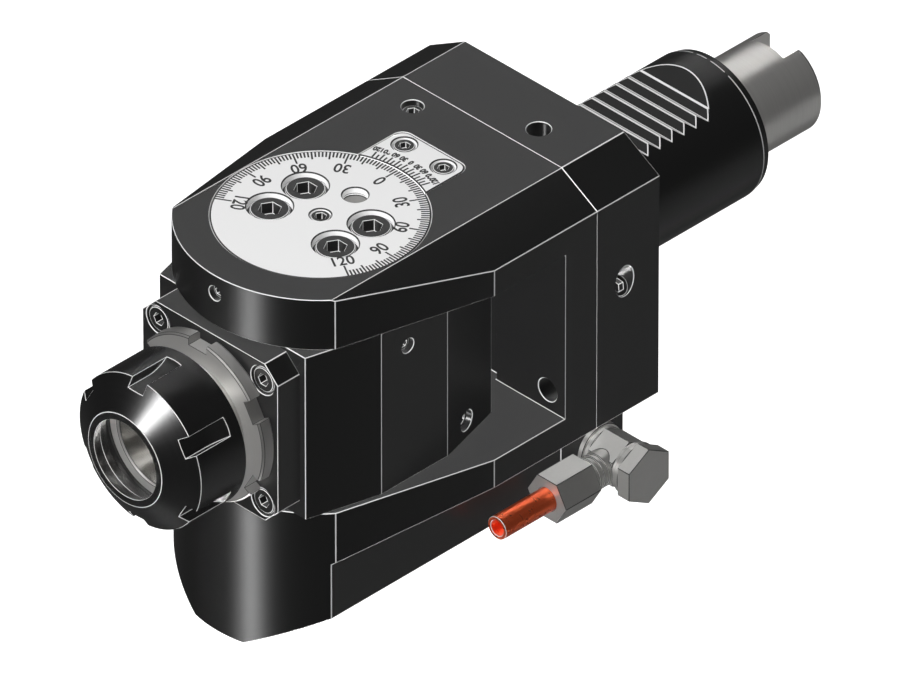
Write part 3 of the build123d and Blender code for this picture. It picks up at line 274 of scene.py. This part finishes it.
def settle(piece, body, name):
    """Name a finished piece, put its place into its mesh and let it ride on its body."""
    activate(piece)
    bpy.ops.object.transform_apply(location=True, rotation=True, scale=True)
    piece.name = name
    piece.data.name = name
    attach(piece, body)


def assign(piece, *finishes):
    """Give a piece its finishes in the order of its material slots."""
    piece.data.materials.clear()
    for finish in finishes:
        piece.data.materials.append(finish)


def merged_copy(node, flat_faces=True):
    """A copy of a CAD node, closed, with the triangles of each flat face made one where that is wanted."""
    copy = bpy.data.objects.new(f"{node}_dressed", frame["nodes"][node].data.copy())
    bpy.context.scene.collection.objects.link(copy)
    activate(copy)
    bpy.ops.mesh.customdata_custom_splitnormals_clear()
    bpy.ops.object.mode_set(mode="EDIT")
    bpy.ops.mesh.select_mode(type="EDGE")
    bpy.ops.mesh.select_all(action="SELECT")
    bpy.ops.mesh.remove_doubles(threshold=MERGE_DISTANCE)
    if flat_faces:
        bpy.ops.mesh.dissolve_limited(angle_limit=FLAT_ANGLE)
    bpy.ops.object.mode_set(mode="OBJECT")
    return copy


def break_edges(piece, width, kept=None):
    """Bevel the sharp edges of a piece in its second finish, all but those whose ends are to be kept."""
    sizes = bpy.context.scene.holder_sizes
    activate(piece)
    bpy.ops.object.mode_set(mode="EDIT")
    bpy.ops.mesh.select_all(action="DESELECT")
    bpy.ops.mesh.edges_select_sharp(sharpness=sizes.edge_angle)
    bpy.ops.object.mode_set(mode="OBJECT")
    if kept:
        for edge in piece.data.edges:
            ends = [piece.data.vertices[index].co for index in edge.vertices]
            if edge.select and all(kept(end) for end in ends):
                edge.select = False
    bpy.ops.object.mode_set(mode="EDIT")
    bpy.ops.mesh.bevel(offset=width, segments=1, affect="EDGES", material=1, clamp_overlap=False,
                       loop_slide=True)
    bpy.ops.mesh.region_to_loop()
    bpy.ops.mesh.mark_sharp()
    bpy.ops.object.mode_set(mode="OBJECT")
    bpy.ops.object.shade_smooth_by_angle(angle=sizes.edge_angle, keep_sharp_edges=True)


def dress(node, body, faces, edges, width, kept=None):
    """Replace a CAD node with a copy that has broken edges in a finish of their own."""
    piece = merged_copy(node, flat_faces=node != "front_cap")
    assign(piece, faces, edges)
    break_edges(piece, width, kept)
    settle(piece, body, f"{node}_dressed")
    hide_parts(node)
    return piece


# Finishes

def group_input(group, name, kind, default):
    """Add an input socket with its default to a node group."""
    socket = group.interface.new_socket(name=name, in_out="INPUT", socket_type=kind)
    socket.default_value = default


def surface_group(name, inputs, outputs):
    """A shader node group with its named inputs and outputs, and its two end nodes."""
    group = bpy.data.node_groups.new(name, "ShaderNodeTree")
    for label, kind, default in inputs:
        group_input(group, label, kind, default)
    for label, kind in outputs:
        group.interface.new_socket(name=label, in_out="OUTPUT", socket_type=kind)
    return group, group.nodes.new("NodeGroupInput"), group.nodes.new("NodeGroupOutput")


def add_node(tree, kind, **settings):
    """Add a node and set its own options."""
    node = tree.nodes.new(kind)
    for option, value in settings.items():
        setattr(node, option, value)
    return node


def spread(group, source, centre, amount):
    """Turn a 0 to 1 pattern into a value around a centre, as far apart as an amount."""
    links = group.links
    shift = add_node(group, "ShaderNodeMath", operation="SUBTRACT")
    links.new(source, shift.inputs[0])
    shift.inputs[1].default_value = 0.5
    scale = add_node(group, "ShaderNodeMath", operation="MULTIPLY_ADD")
    links.new(shift.outputs[0], scale.inputs[0])
    links.new(amount, scale.inputs[1])
    links.new(centre, scale.inputs[2])
    return scale.outputs[0]


def shade_pattern(group, ends, pattern):
    """Let a pattern change a finish's tone and roughness, and lead both and the pattern out."""
    start, end = ends
    links = group.links
    one = add_node(group, "ShaderNodeValue")
    one.outputs[0].default_value = 1.0
    tone = spread(group, pattern, one.outputs[0], start.outputs["Tone Change"])
    colour = add_node(group, "ShaderNodeVectorMath", operation="SCALE")
    links.new(start.outputs["Color"], colour.inputs[0])
    links.new(tone, colour.inputs["Scale"])
    links.new(colour.outputs[0], end.inputs["Color"])
    links.new(spread(group, pattern, start.outputs["Roughness"], start.outputs["Roughness Change"]),
              end.inputs["Roughness"])
    links.new(pattern, end.inputs["Height"])


PATTERN_INPUTS = [("Color", "NodeSocketColor", (0.5, 0.5, 0.5, 1)), ("Roughness", "NodeSocketFloat", 0.5),
                  ("Tone Change", "NodeSocketFloat", 0.2), ("Roughness Change", "NodeSocketFloat", 0.1),
                  ("Scale", "NodeSocketFloat", 600.0)]
PATTERN_OUTPUTS = [("Color", "NodeSocketColor"), ("Roughness", "NodeSocketFloat"),
                   ("Height", "NodeSocketFloat")]


def steel_grain():
    """Fine uneven grain over faint larger clouds, as on blackened or plated steel."""
    group, start, end = surface_group("Steel Grain", PATTERN_INPUTS, PATTERN_OUTPUTS)
    place = add_node(group, "ShaderNodeTexCoord")
    fine = add_node(group, "ShaderNodeTexNoise")
    fine.inputs["Detail"].default_value = 3.0
    clouds = add_node(group, "ShaderNodeTexNoise")
    clouds.inputs["Detail"].default_value = 2.0
    wide = add_node(group, "ShaderNodeMath", operation="MULTIPLY")
    wide.inputs[1].default_value = CLOUD_SCALE
    group.links.new(start.outputs["Scale"], wide.inputs[0])
    for noise, scale in ((fine, start.outputs["Scale"]), (clouds, wide.outputs[0])):
        group.links.new(place.outputs["Object"], noise.inputs["Vector"])
        group.links.new(scale, noise.inputs["Scale"])
    both = add_node(group, "ShaderNodeMix", data_type="FLOAT")
    both.inputs["Factor"].default_value = CLOUD_SHARE
    group.links.new(fine.outputs["Fac"], both.inputs["A"])
    group.links.new(clouds.outputs["Fac"], both.inputs["B"])
    shade_pattern(group, (start, end), both.outputs["Result"])
    return group


def turning_marks():
    """Fine rings around the line of the shank and the spindle, as a lathe or a grinding wheel leaves."""
    group, start, end = surface_group("Turning Marks", PATTERN_INPUTS, PATTERN_OUTPUTS)
    place = add_node(group, "ShaderNodeTexCoord")
    parts = add_node(group, "ShaderNodeSeparateXYZ")
    group.links.new(place.outputs["Object"], parts.inputs[0])
    across = add_node(group, "ShaderNodeCombineXYZ")
    group.links.new(parts.outputs["X"], across.inputs["X"])
    group.links.new(parts.outputs["Z"], across.inputs["Z"])
    radius = add_node(group, "ShaderNodeVectorMath", operation="LENGTH")
    group.links.new(across.outputs[0], radius.inputs[0])
    rings = add_node(group, "ShaderNodeCombineXYZ")
    group.links.new(radius.outputs["Value"], rings.inputs["X"])
    group.links.new(parts.outputs["Y"], rings.inputs["Y"])
    noise = add_node(group, "ShaderNodeTexNoise", noise_dimensions="2D")
    noise.inputs["Detail"].default_value = 4.0
    noise.inputs["Roughness"].default_value = 0.7
    group.links.new(rings.outputs[0], noise.inputs["Vector"])
    group.links.new(start.outputs["Scale"], noise.inputs["Scale"])
    shade_pattern(group, (start, end), noise.outputs["Fac"])
    return group


def toned(colour, share):
    """A colour at a share of its brightness."""
    return [channel * share for channel in colour]


def finish(name, pattern, colour, roughness, metallic=0.0, specular=0.5, scale=900.0, tone=0.15,
           polish=0.08, depth=0.002):
    """A finish made of one shader, with a pattern group for its colour, roughness and relief."""
    material = bpy.data.materials.new(name)
    material.use_nodes = True
    material.diffuse_color = (*colour, 1)
    tree = material.node_tree
    shader = tree.nodes["Principled BSDF"]
    shader.inputs["Metallic"].default_value = metallic
    shader.inputs["Specular IOR Level"].default_value = specular
    marks = add_node(tree, "ShaderNodeGroup", node_tree=pattern)
    marks.inputs["Color"].default_value = (*colour, 1)
    marks.inputs["Roughness"].default_value = roughness
    marks.inputs["Tone Change"].default_value = tone
    marks.inputs["Roughness Change"].default_value = polish
    marks.inputs["Scale"].default_value = scale
    relief = add_node(tree, "ShaderNodeBump")
    relief.inputs["Distance"].default_value = depth * MILLIMETRE
    tree.links.new(marks.outputs["Color"], shader.inputs["Base Color"])
    tree.links.new(marks.outputs["Roughness"], shader.inputs["Roughness"])
    tree.links.new(marks.outputs["Height"], relief.inputs["Height"])
    tree.links.new(relief.outputs["Normal"], shader.inputs["Normal"])
    return material


class HOLDER_OT_finishes(bpy.types.Operator):
    """Make the finishes of the holder's metals, dial and seals"""
    bl_idname = "holder.finishes"
    bl_label = "Make Finishes"

    def execute(self, context):
        colours = context.scene.holder_colours
        grain = steel_grain()
        turned = turning_marks()
        finish("Black Oxide Steel", grain, colours.black, 0.32, tone=0.12, polish=0.03)
        finish("Turned Black Steel", turned, colours.black, 0.26, tone=0.12, polish=0.04)
        finish("Black Screw Steel", grain, colours.black, 0.32)
        finish("Worn Bare Edge", grain, colours.edge, 0.5, metallic=0.1, tone=0.2)
        # Painted shade: near-black bevels along the edges of the ground steel, the fitting and the white
        # plates, dark lines of shade painted on
        finish("Dark Shop Edge", grain, colours.marks, 0.6)
        finish("Ground Steel", turned, colours.ground, 0.3, metallic=0.9, scale=2500.0)
        finish("Ground Ring Steel", turned, toned(colours.ground, 0.52), 0.42, metallic=0.9,
               scale=2500.0, tone=0.05)
        # Painted shade: a darker copy of the ground steel, put on the spindle's taper and bore as shade in
        # that recess
        finish("Ground Taper Steel", turned, toned(colours.ground, 0.7), 0.2, metallic=1.0)
        finish("Dull Pin Steel", turned, toned(colours.ground, 0.3), 0.5, metallic=0.3)
        finish("Plated Fitting Steel", grain, colours.fitting, 0.34, metallic=0.9)
        finish("Drawn Copper", grain, colours.copper, 0.28, metallic=0.9, tone=0.2)
        finish("White Dial Enamel", grain, colours.white, 0.5, tone=0.02, specular=0.3)
        finish("Black Mark Filling", grain, colours.marks, 0.6)
        finish("Machined Gear Steel", grain, toned(colours.ground, 0.8), 0.4, metallic=0.8)
        finish("Polished Bearing Steel", grain, toned(colours.ground, 1.2), 0.2, metallic=1.0)
        finish("Black Seal Rubber", grain, colours.marks, 0.75, depth=0.004)
        return {"FINISHED"}


# Pieces

class HOLDER_OT_black_bodies(bpy.types.Operator):
    """Give the blackened housings, cap, covers and nut their worn bright edges"""
    bl_idname = "holder.black_bodies"
    bl_label = "Dress Black Bodies"

    def execute(self, context):
        sizes = context.scene.holder_sizes
        black = bpy.data.materials["Black Oxide Steel"]
        turned = bpy.data.materials["Turned Black Steel"]
        worn = bpy.data.materials["Worn Bare Edge"]
        for node, body in BLACK_NODES.items():
            kept = on_rack_crest if node == "rear_block" else None
            piece = dress(node, body, black, worn, sizes.edge_width, kept)
            if node == "rear_block":
                brighten_crests(piece)
        for node, body in TURNED_BLACK_NODES.items():
            dress(node, body, turned, worn, sizes.fine_edge_width)
        return {"FINISHED"}


def on_rack_crest(point):
    """Whether a point lies on the narrow crests of the shank's rack."""
    return point.y > SHANK_START and abs(point.z - RACK_CREST) < CREST_TOLERANCE


def brighten_crests(piece):
    """Wear the narrow crests of the rack bright."""
    for face in piece.data.polygons:
        points = [piece.data.vertices[index].co for index in face.vertices]
        width = max(p.y for p in points) - min(p.y for p in points)
        if all(on_rack_crest(point) for point in points) and width < CREST_WIDTH:
            face.material_index = 1


class HOLDER_OT_fasteners(bpy.types.Operator):
    """Break the edges of the socket screws and set screws"""
    bl_idname = "holder.fasteners"
    bl_label = "Dress Screws"

    def execute(self, context):
        sizes = context.scene.holder_sizes
        for node, body in SCREW_NODES.items():
            dress(node, body, bpy.data.materials["Black Screw Steel"],
                  bpy.data.materials["Worn Bare Edge"], sizes.fine_edge_width)
        return {"FINISHED"}


def darken_taper(piece):
    """Paint shade into the taper and the bore inside the spindle: their faces get a darker copy of the
    ground steel.
    """
    piece.data.materials.append(bpy.data.materials["Ground Taper Steel"])
    for face in piece.data.polygons:
        points = [piece.data.vertices[index].co for index in face.vertices]
        if face.material_index == 0 and all(math.hypot(p.x, p.z) < TAPER_MOUTH for p in points):
            face.material_index = 2


class HOLDER_OT_ground_parts(bpy.types.Operator):
    """Break the edges of the drive shaft, the spindle, the notched ring and the dial's pin in painted shade
    """
    bl_idname = "holder.ground_parts"
    bl_label = "Dress Ground Parts"

    def execute(self, context):
        sizes = context.scene.holder_sizes
        for node, body in GROUND_NODES.items():
            # Their edges are beveled in painted shade, near-black lines
            piece = dress(node, body, bpy.data.materials["Ground Steel"],
                          bpy.data.materials["Dark Shop Edge"], sizes.fine_edge_width)
            # The spindle's taper and bore get painted shade
            if node == "spindle":
                darken_taper(piece)
            if node in OWN_GROUND_FINISHES:
                piece.data.materials[0] = bpy.data.materials[OWN_GROUND_FINISHES[node]]
        return {"FINISHED"}


class HOLDER_OT_coolant_fitting(bpy.types.Operator):
    """Break the edges of the banjo fitting in painted shade, and those of its copper pipe"""
    bl_idname = "holder.coolant_fitting"
    bl_label = "Dress Coolant Fitting"

    def execute(self, context):
        sizes = context.scene.holder_sizes
        for node, body in FITTING_NODES.items():
            width = sizes.fine_edge_width if node == "banjo_body" else sizes.edge_width
            # The fitting's edges are beveled in painted shade, near-black lines
            dress(node, body, bpy.data.materials["Plated Fitting Steel"],
                  bpy.data.materials["Dark Shop Edge"], width)
        dress("copper_tube", "coolant_pipe", bpy.data.materials["Drawn Copper"],
              bpy.data.materials["Worn Bare Edge"], sizes.fine_edge_width)
        assign(frame["nodes"]["ferrule"], bpy.data.materials["Drawn Copper"])
        return {"FINISHED"}


def white_plate(node, body):
    """A white plate with broken edges in painted shade, a hair lower than its place so that filled marks can
    end flush.
    """
    sizes = bpy.context.scene.holder_sizes
    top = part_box(node)[1].z
    piece = dress(node, body, bpy.data.materials["White Dial Enamel"],
                  bpy.data.materials["Dark Shop Edge"], sizes.plate_edge_width)
    for vertex in piece.data.vertices:
        if vertex.co.z > top - sizes.plate_edge_width / 2:
            vertex.co.z = top - sizes.mark_depth
    return piece


def filled_line(angle, start, length, width):
    """One filled line of a graduation, drawn outwards from a radius at an angle from the shank's side."""
    depth = bpy.context.scene.holder_sizes.mark_depth
    deselect_all()
    bpy.ops.mesh.primitive_cube_add(size=1, location=(0, start + length / 2, -depth))
    line = bpy.context.object
    line.scale = (width, length, 2 * depth)
    bpy.ops.object.transform_apply(location=True, rotation=True, scale=True)
    line.matrix_world = Matrix.Translation(DIAL_CENTRE) @ Matrix.Rotation(-angle, 4, "Z")
    bpy.ops.object.transform_apply(location=True, rotation=True, scale=True)
    return line


def filled_number(number, angle, radius, height, boldness):
    """A filled number, its top towards the dial's centre, its strokes widened by a share of its height."""
    depth = bpy.context.scene.holder_sizes.mark_depth
    deselect_all()
    bpy.ops.object.text_add()
    text = bpy.context.object
    text.data.body = str(number)
    text.data.align_x = "CENTER"
    text.data.align_y = "CENTER"
    text.data.size = height / NUMERAL_SHARE_OF_FONT
    text.data.extrude = depth
    text.data.offset = height * boldness
    text.data.resolution_u = 6
    bpy.ops.object.convert(target="MESH")
    text = bpy.context.object
    text.matrix_world = (Matrix.Translation(DIAL_CENTRE - Vector((0, 0, depth)))
                         @ Matrix.Rotation(-angle, 4, "Z") @ Matrix.Translation((0, radius, 0))
                         @ Matrix.Rotation(math.pi, 4, "Z")
                         @ Matrix.Diagonal((NUMBER_NARROWNESS, 1, 1, 1)))
    bpy.ops.object.transform_apply(location=True, rotation=True, scale=True)
    return text


def joined(pieces):
    """Several pieces as one."""
    deselect_all()
    for piece in pieces:
        piece.select_set(True)
    bpy.context.view_layer.objects.active = pieces[0]
    bpy.ops.object.join()
    return bpy.context.object


class HOLDER_OT_dial(bpy.types.Operator):
    """Add the white dial plate with its lines and numbers"""
    bl_idname = "holder.dial"
    bl_label = "Add Graduated Dial"

    def execute(self, context):
        sizes = context.scene.holder_sizes
        white_plate("dial_plate", "swivel_head")
        marks = []
        for degrees in range(-DIAL_END, DIAL_END + 1, DIAL_STEP):
            length = sizes.short_line
            if degrees % DIAL_MIDDLE_STEP == 0:
                length = sizes.middle_line
            if degrees % DIAL_NUMBER_STEP == 0:
                length = sizes.long_line
                marks.append(filled_number(abs(degrees), math.radians(degrees), sizes.number_radius,
                                           sizes.number_height, sizes.number_boldness))
            start = DIAL_RADIUS - sizes.plate_edge_width - length
            marks.append(filled_line(math.radians(degrees), start, length, sizes.line_width))
        piece = joined(marks)
        assign(piece, bpy.data.materials["Black Mark Filling"])
        settle(piece, "swivel_head", "dial_graduation")
        return {"FINISHED"}


class HOLDER_OT_vernier(bpy.types.Operator):
    """Add the white vernier plate with its lines and numbers"""
    bl_idname = "holder.vernier"
    bl_label = "Add Vernier Plate"

    def execute(self, context):
        sizes = context.scene.holder_sizes
        white_plate("vernier_plate", "housing")
        start = DIAL_RADIUS + 2 * sizes.plate_edge_width
        boldness = VERNIER_BOLDNESS * sizes.number_boldness
        marks = []
        for index in range(-VERNIER_LINES_EACH_WAY, VERNIER_LINES_EACH_WAY + 1):
            angle = index * VERNIER_STEP
            numbered = index % 2 == 0
            length = sizes.vernier_long_line if numbered else sizes.vernier_short_line
            marks.append(filled_line(angle, start, length, sizes.line_width))
            if numbered:
                radius = start + length + sizes.vernier_number_height * VERNIER_NUMBER_GAP
                marks.append(filled_number(abs(index) * VERNIER_NUMBER_STEP, angle, radius,
                                           sizes.vernier_number_height, boldness))
        piece = joined(marks)
        assign(piece, bpy.data.materials["Black Mark Filling"])
        settle(piece, "housing", "vernier_graduation")
        return {"FINISHED"}


class HOLDER_OT_inner_parts(bpy.types.Operator):
    """Give gears, bearings, pins and seals their finishes"""
    bl_idname = "holder.inner_parts"
    bl_label = "Finish Inner Parts"

    def execute(self, context):
        for subpart in frame["record"]["subparts"]:
            slot = subpart["material_slot"]
            if slot in PLAIN_FINISHES:
                assign(frame["nodes"][subpart["node"]], bpy.data.materials[PLAIN_FINISHES[slot]])
        return {"FINISHED"}


# Stage

def area_light(name, direction, size, power):
    """A square soft light without shadows that faces the holder from a direction."""
    towards = Vector(direction).normalized()
    middle = (Vector(cad_box[0]) + Vector(cad_box[1])) / 2
    deselect_all()
    bpy.ops.object.light_add(type="AREA", location=middle + towards * LIGHT_DISTANCE)
    light = bpy.context.object
    light.name = name
    light.rotation_euler = (-towards).to_track_quat("-Z", "Y").to_euler()
    light.data.size = size
    light.data.energy = power
    light.data.use_shadow = False
    light.data.cycles.use_multiple_importance_sampling = False


def studio_world():
    """White behind the holder, and a soft sky that is brighter overhead and low in front for all else."""
    world = bpy.data.worlds.new("Studio")
    bpy.context.scene.world = world
    world.use_nodes = True
    tree = world.node_tree
    tree.nodes.clear()
    links = tree.links
    way = add_node(tree, "ShaderNodeTexCoord")
    total = None
    for direction in SKY_GLOW_DIRECTIONS:
        towards = add_node(tree, "ShaderNodeVectorMath", operation="DOT_PRODUCT")
        links.new(way.outputs["Generated"], towards.inputs[0])
        towards.inputs[1].default_value = direction
        glow = add_node(tree, "ShaderNodeMath", operation="MULTIPLY", use_clamp=True)
        links.new(towards.outputs["Value"], glow.inputs[0])
        glow.inputs[1].default_value = SKY_GLOW
        added = add_node(tree, "ShaderNodeMath", operation="ADD")
        links.new(glow.outputs[0], added.inputs[0])
        added.inputs[1].default_value = SKY_LAYER
        if total:
            links.new(total, added.inputs[1])
        total = added.outputs[0]
    sky = add_node(tree, "ShaderNodeBackground")
    links.new(total, sky.inputs["Strength"])
    backdrop = add_node(tree, "ShaderNodeBackground")
    backdrop.inputs["Strength"].default_value = 1.0
    for node in (sky, backdrop):
        node.inputs["Color"].default_value = (1, 1, 1, 1)
    rays = add_node(tree, "ShaderNodeLightPath")
    chosen = add_node(tree, "ShaderNodeMixShader")
    links.new(rays.outputs["Is Camera Ray"], chosen.inputs[0])
    links.new(sky.outputs[0], chosen.inputs[1])
    links.new(backdrop.outputs[0], chosen.inputs[2])
    end = add_node(tree, "ShaderNodeOutputWorld")
    links.new(chosen.outputs[0], end.inputs["Surface"])


class HOLDER_OT_stage(bpy.types.Operator):
    """Add the pale floor, the soft light and the camera"""
    bl_idname = "holder.stage"
    bl_label = "Add Stage"

    def execute(self, context):
        stage = context.scene.holder_stage
        context.scene.view_settings.view_transform = "Standard"
        studio_world()
        low, high = [Vector(corner) for corner in cad_box]
        middle = (low + high) / 2
        deselect_all()
        bpy.ops.mesh.primitive_plane_add(size=stage.floor_size, location=(middle.x, middle.y, low.z))
        floor = context.object
        floor.name = "studio_floor"
        pale = bpy.data.materials.new("Pale Floor")
        pale.use_nodes = True
        shader = pale.node_tree.nodes["Principled BSDF"]
        shader.inputs["Base Color"].default_value = (*[stage.floor_tone] * 3, 1)
        shader.inputs["Roughness"].default_value = 0.9
        shader.inputs["Emission Color"].default_value = (1, 1, 1, 1)
        shader.inputs["Emission Strength"].default_value = stage.floor_glow
        assign(floor, pale)
        floor.visible_glossy = False
        floor.visible_diffuse = False
        floor.visible_shadow = False
        for name, direction, size, power in LIGHTS:
            area_light(name, direction, size, getattr(stage, power))
        self.add_camera(context, stage)
        return {"FINISHED"}

    def add_camera(self, context, stage):
        """The isometric view of the photograph, from as far off as the other views allow."""
        towards = Vector((1, -1, 1)).normalized()
        right = Vector((1, 1, 0)).normalized()
        up = right.cross(-towards).normalized()
        target = DIAL_CENTRE + right * FRAME_RIGHT - up * FRAME_DOWN
        distance = stage.lens * stage.frame_width / SENSOR_WIDTH
        deselect_all()
        bpy.ops.object.camera_add(location=target + towards * distance)
        camera = context.object
        camera.name = "photo_camera"
        camera.rotation_euler = (-towards).to_track_quat("-Z", "Y").to_euler()
        camera.data.lens = stage.lens
        camera.data.sensor_width = SENSOR_WIDTH
        context.scene.camera = camera


class HOLDER_PT_panel(bpy.types.Panel):
    """Lists the steps that finish the tool holder"""
    bl_idname = "HOLDER_PT_panel"
    bl_label = "Tool Holder"
    bl_space_type = "VIEW_3D"
    bl_region_type = "UI"
    bl_category = "Tool Holder"

    def draw(self, context):
        scene = context.scene
        for group in (scene.holder_sizes, scene.holder_colours, scene.holder_stage):
            for label in group.bl_rna.properties.keys():
                if label not in ("name", "rna_type"):
                    self.layout.prop(group, label)
        for step in STEPS:
            self.layout.operator(step.bl_idname)


STEPS = (HOLDER_OT_finishes, HOLDER_OT_black_bodies, HOLDER_OT_fasteners, HOLDER_OT_ground_parts,
         HOLDER_OT_coolant_fitting, HOLDER_OT_dial, HOLDER_OT_vernier, HOLDER_OT_inner_parts,
         HOLDER_OT_stage)
CLASSES = (HolderSizes, HolderColours, HolderStage, *STEPS, HOLDER_PT_panel)


def register():
    for item in CLASSES:
        bpy.utils.register_class(item)
    bpy.types.Scene.holder_sizes = bpy.props.PointerProperty(type=HolderSizes)
    bpy.types.Scene.holder_colours = bpy.props.PointerProperty(type=HolderColours)
    bpy.types.Scene.holder_stage = bpy.props.PointerProperty(type=HolderStage)


def unregister():
    del bpy.types.Scene.holder_stage
    del bpy.types.Scene.holder_colours
    del bpy.types.Scene.holder_sizes
    for item in reversed(CLASSES):
        bpy.utils.unregister_class(item)


def main():
    register()
    bpy.ops.holder.finishes()
    bpy.ops.holder.black_bodies()
    bpy.ops.holder.fasteners()
    bpy.ops.holder.ground_parts()
    bpy.ops.holder.coolant_fitting()
    bpy.ops.holder.dial()
    bpy.ops.holder.vernier()
    bpy.ops.holder.inner_parts()
    bpy.ops.holder.stage()


if __name__ == "__main__":
    main()
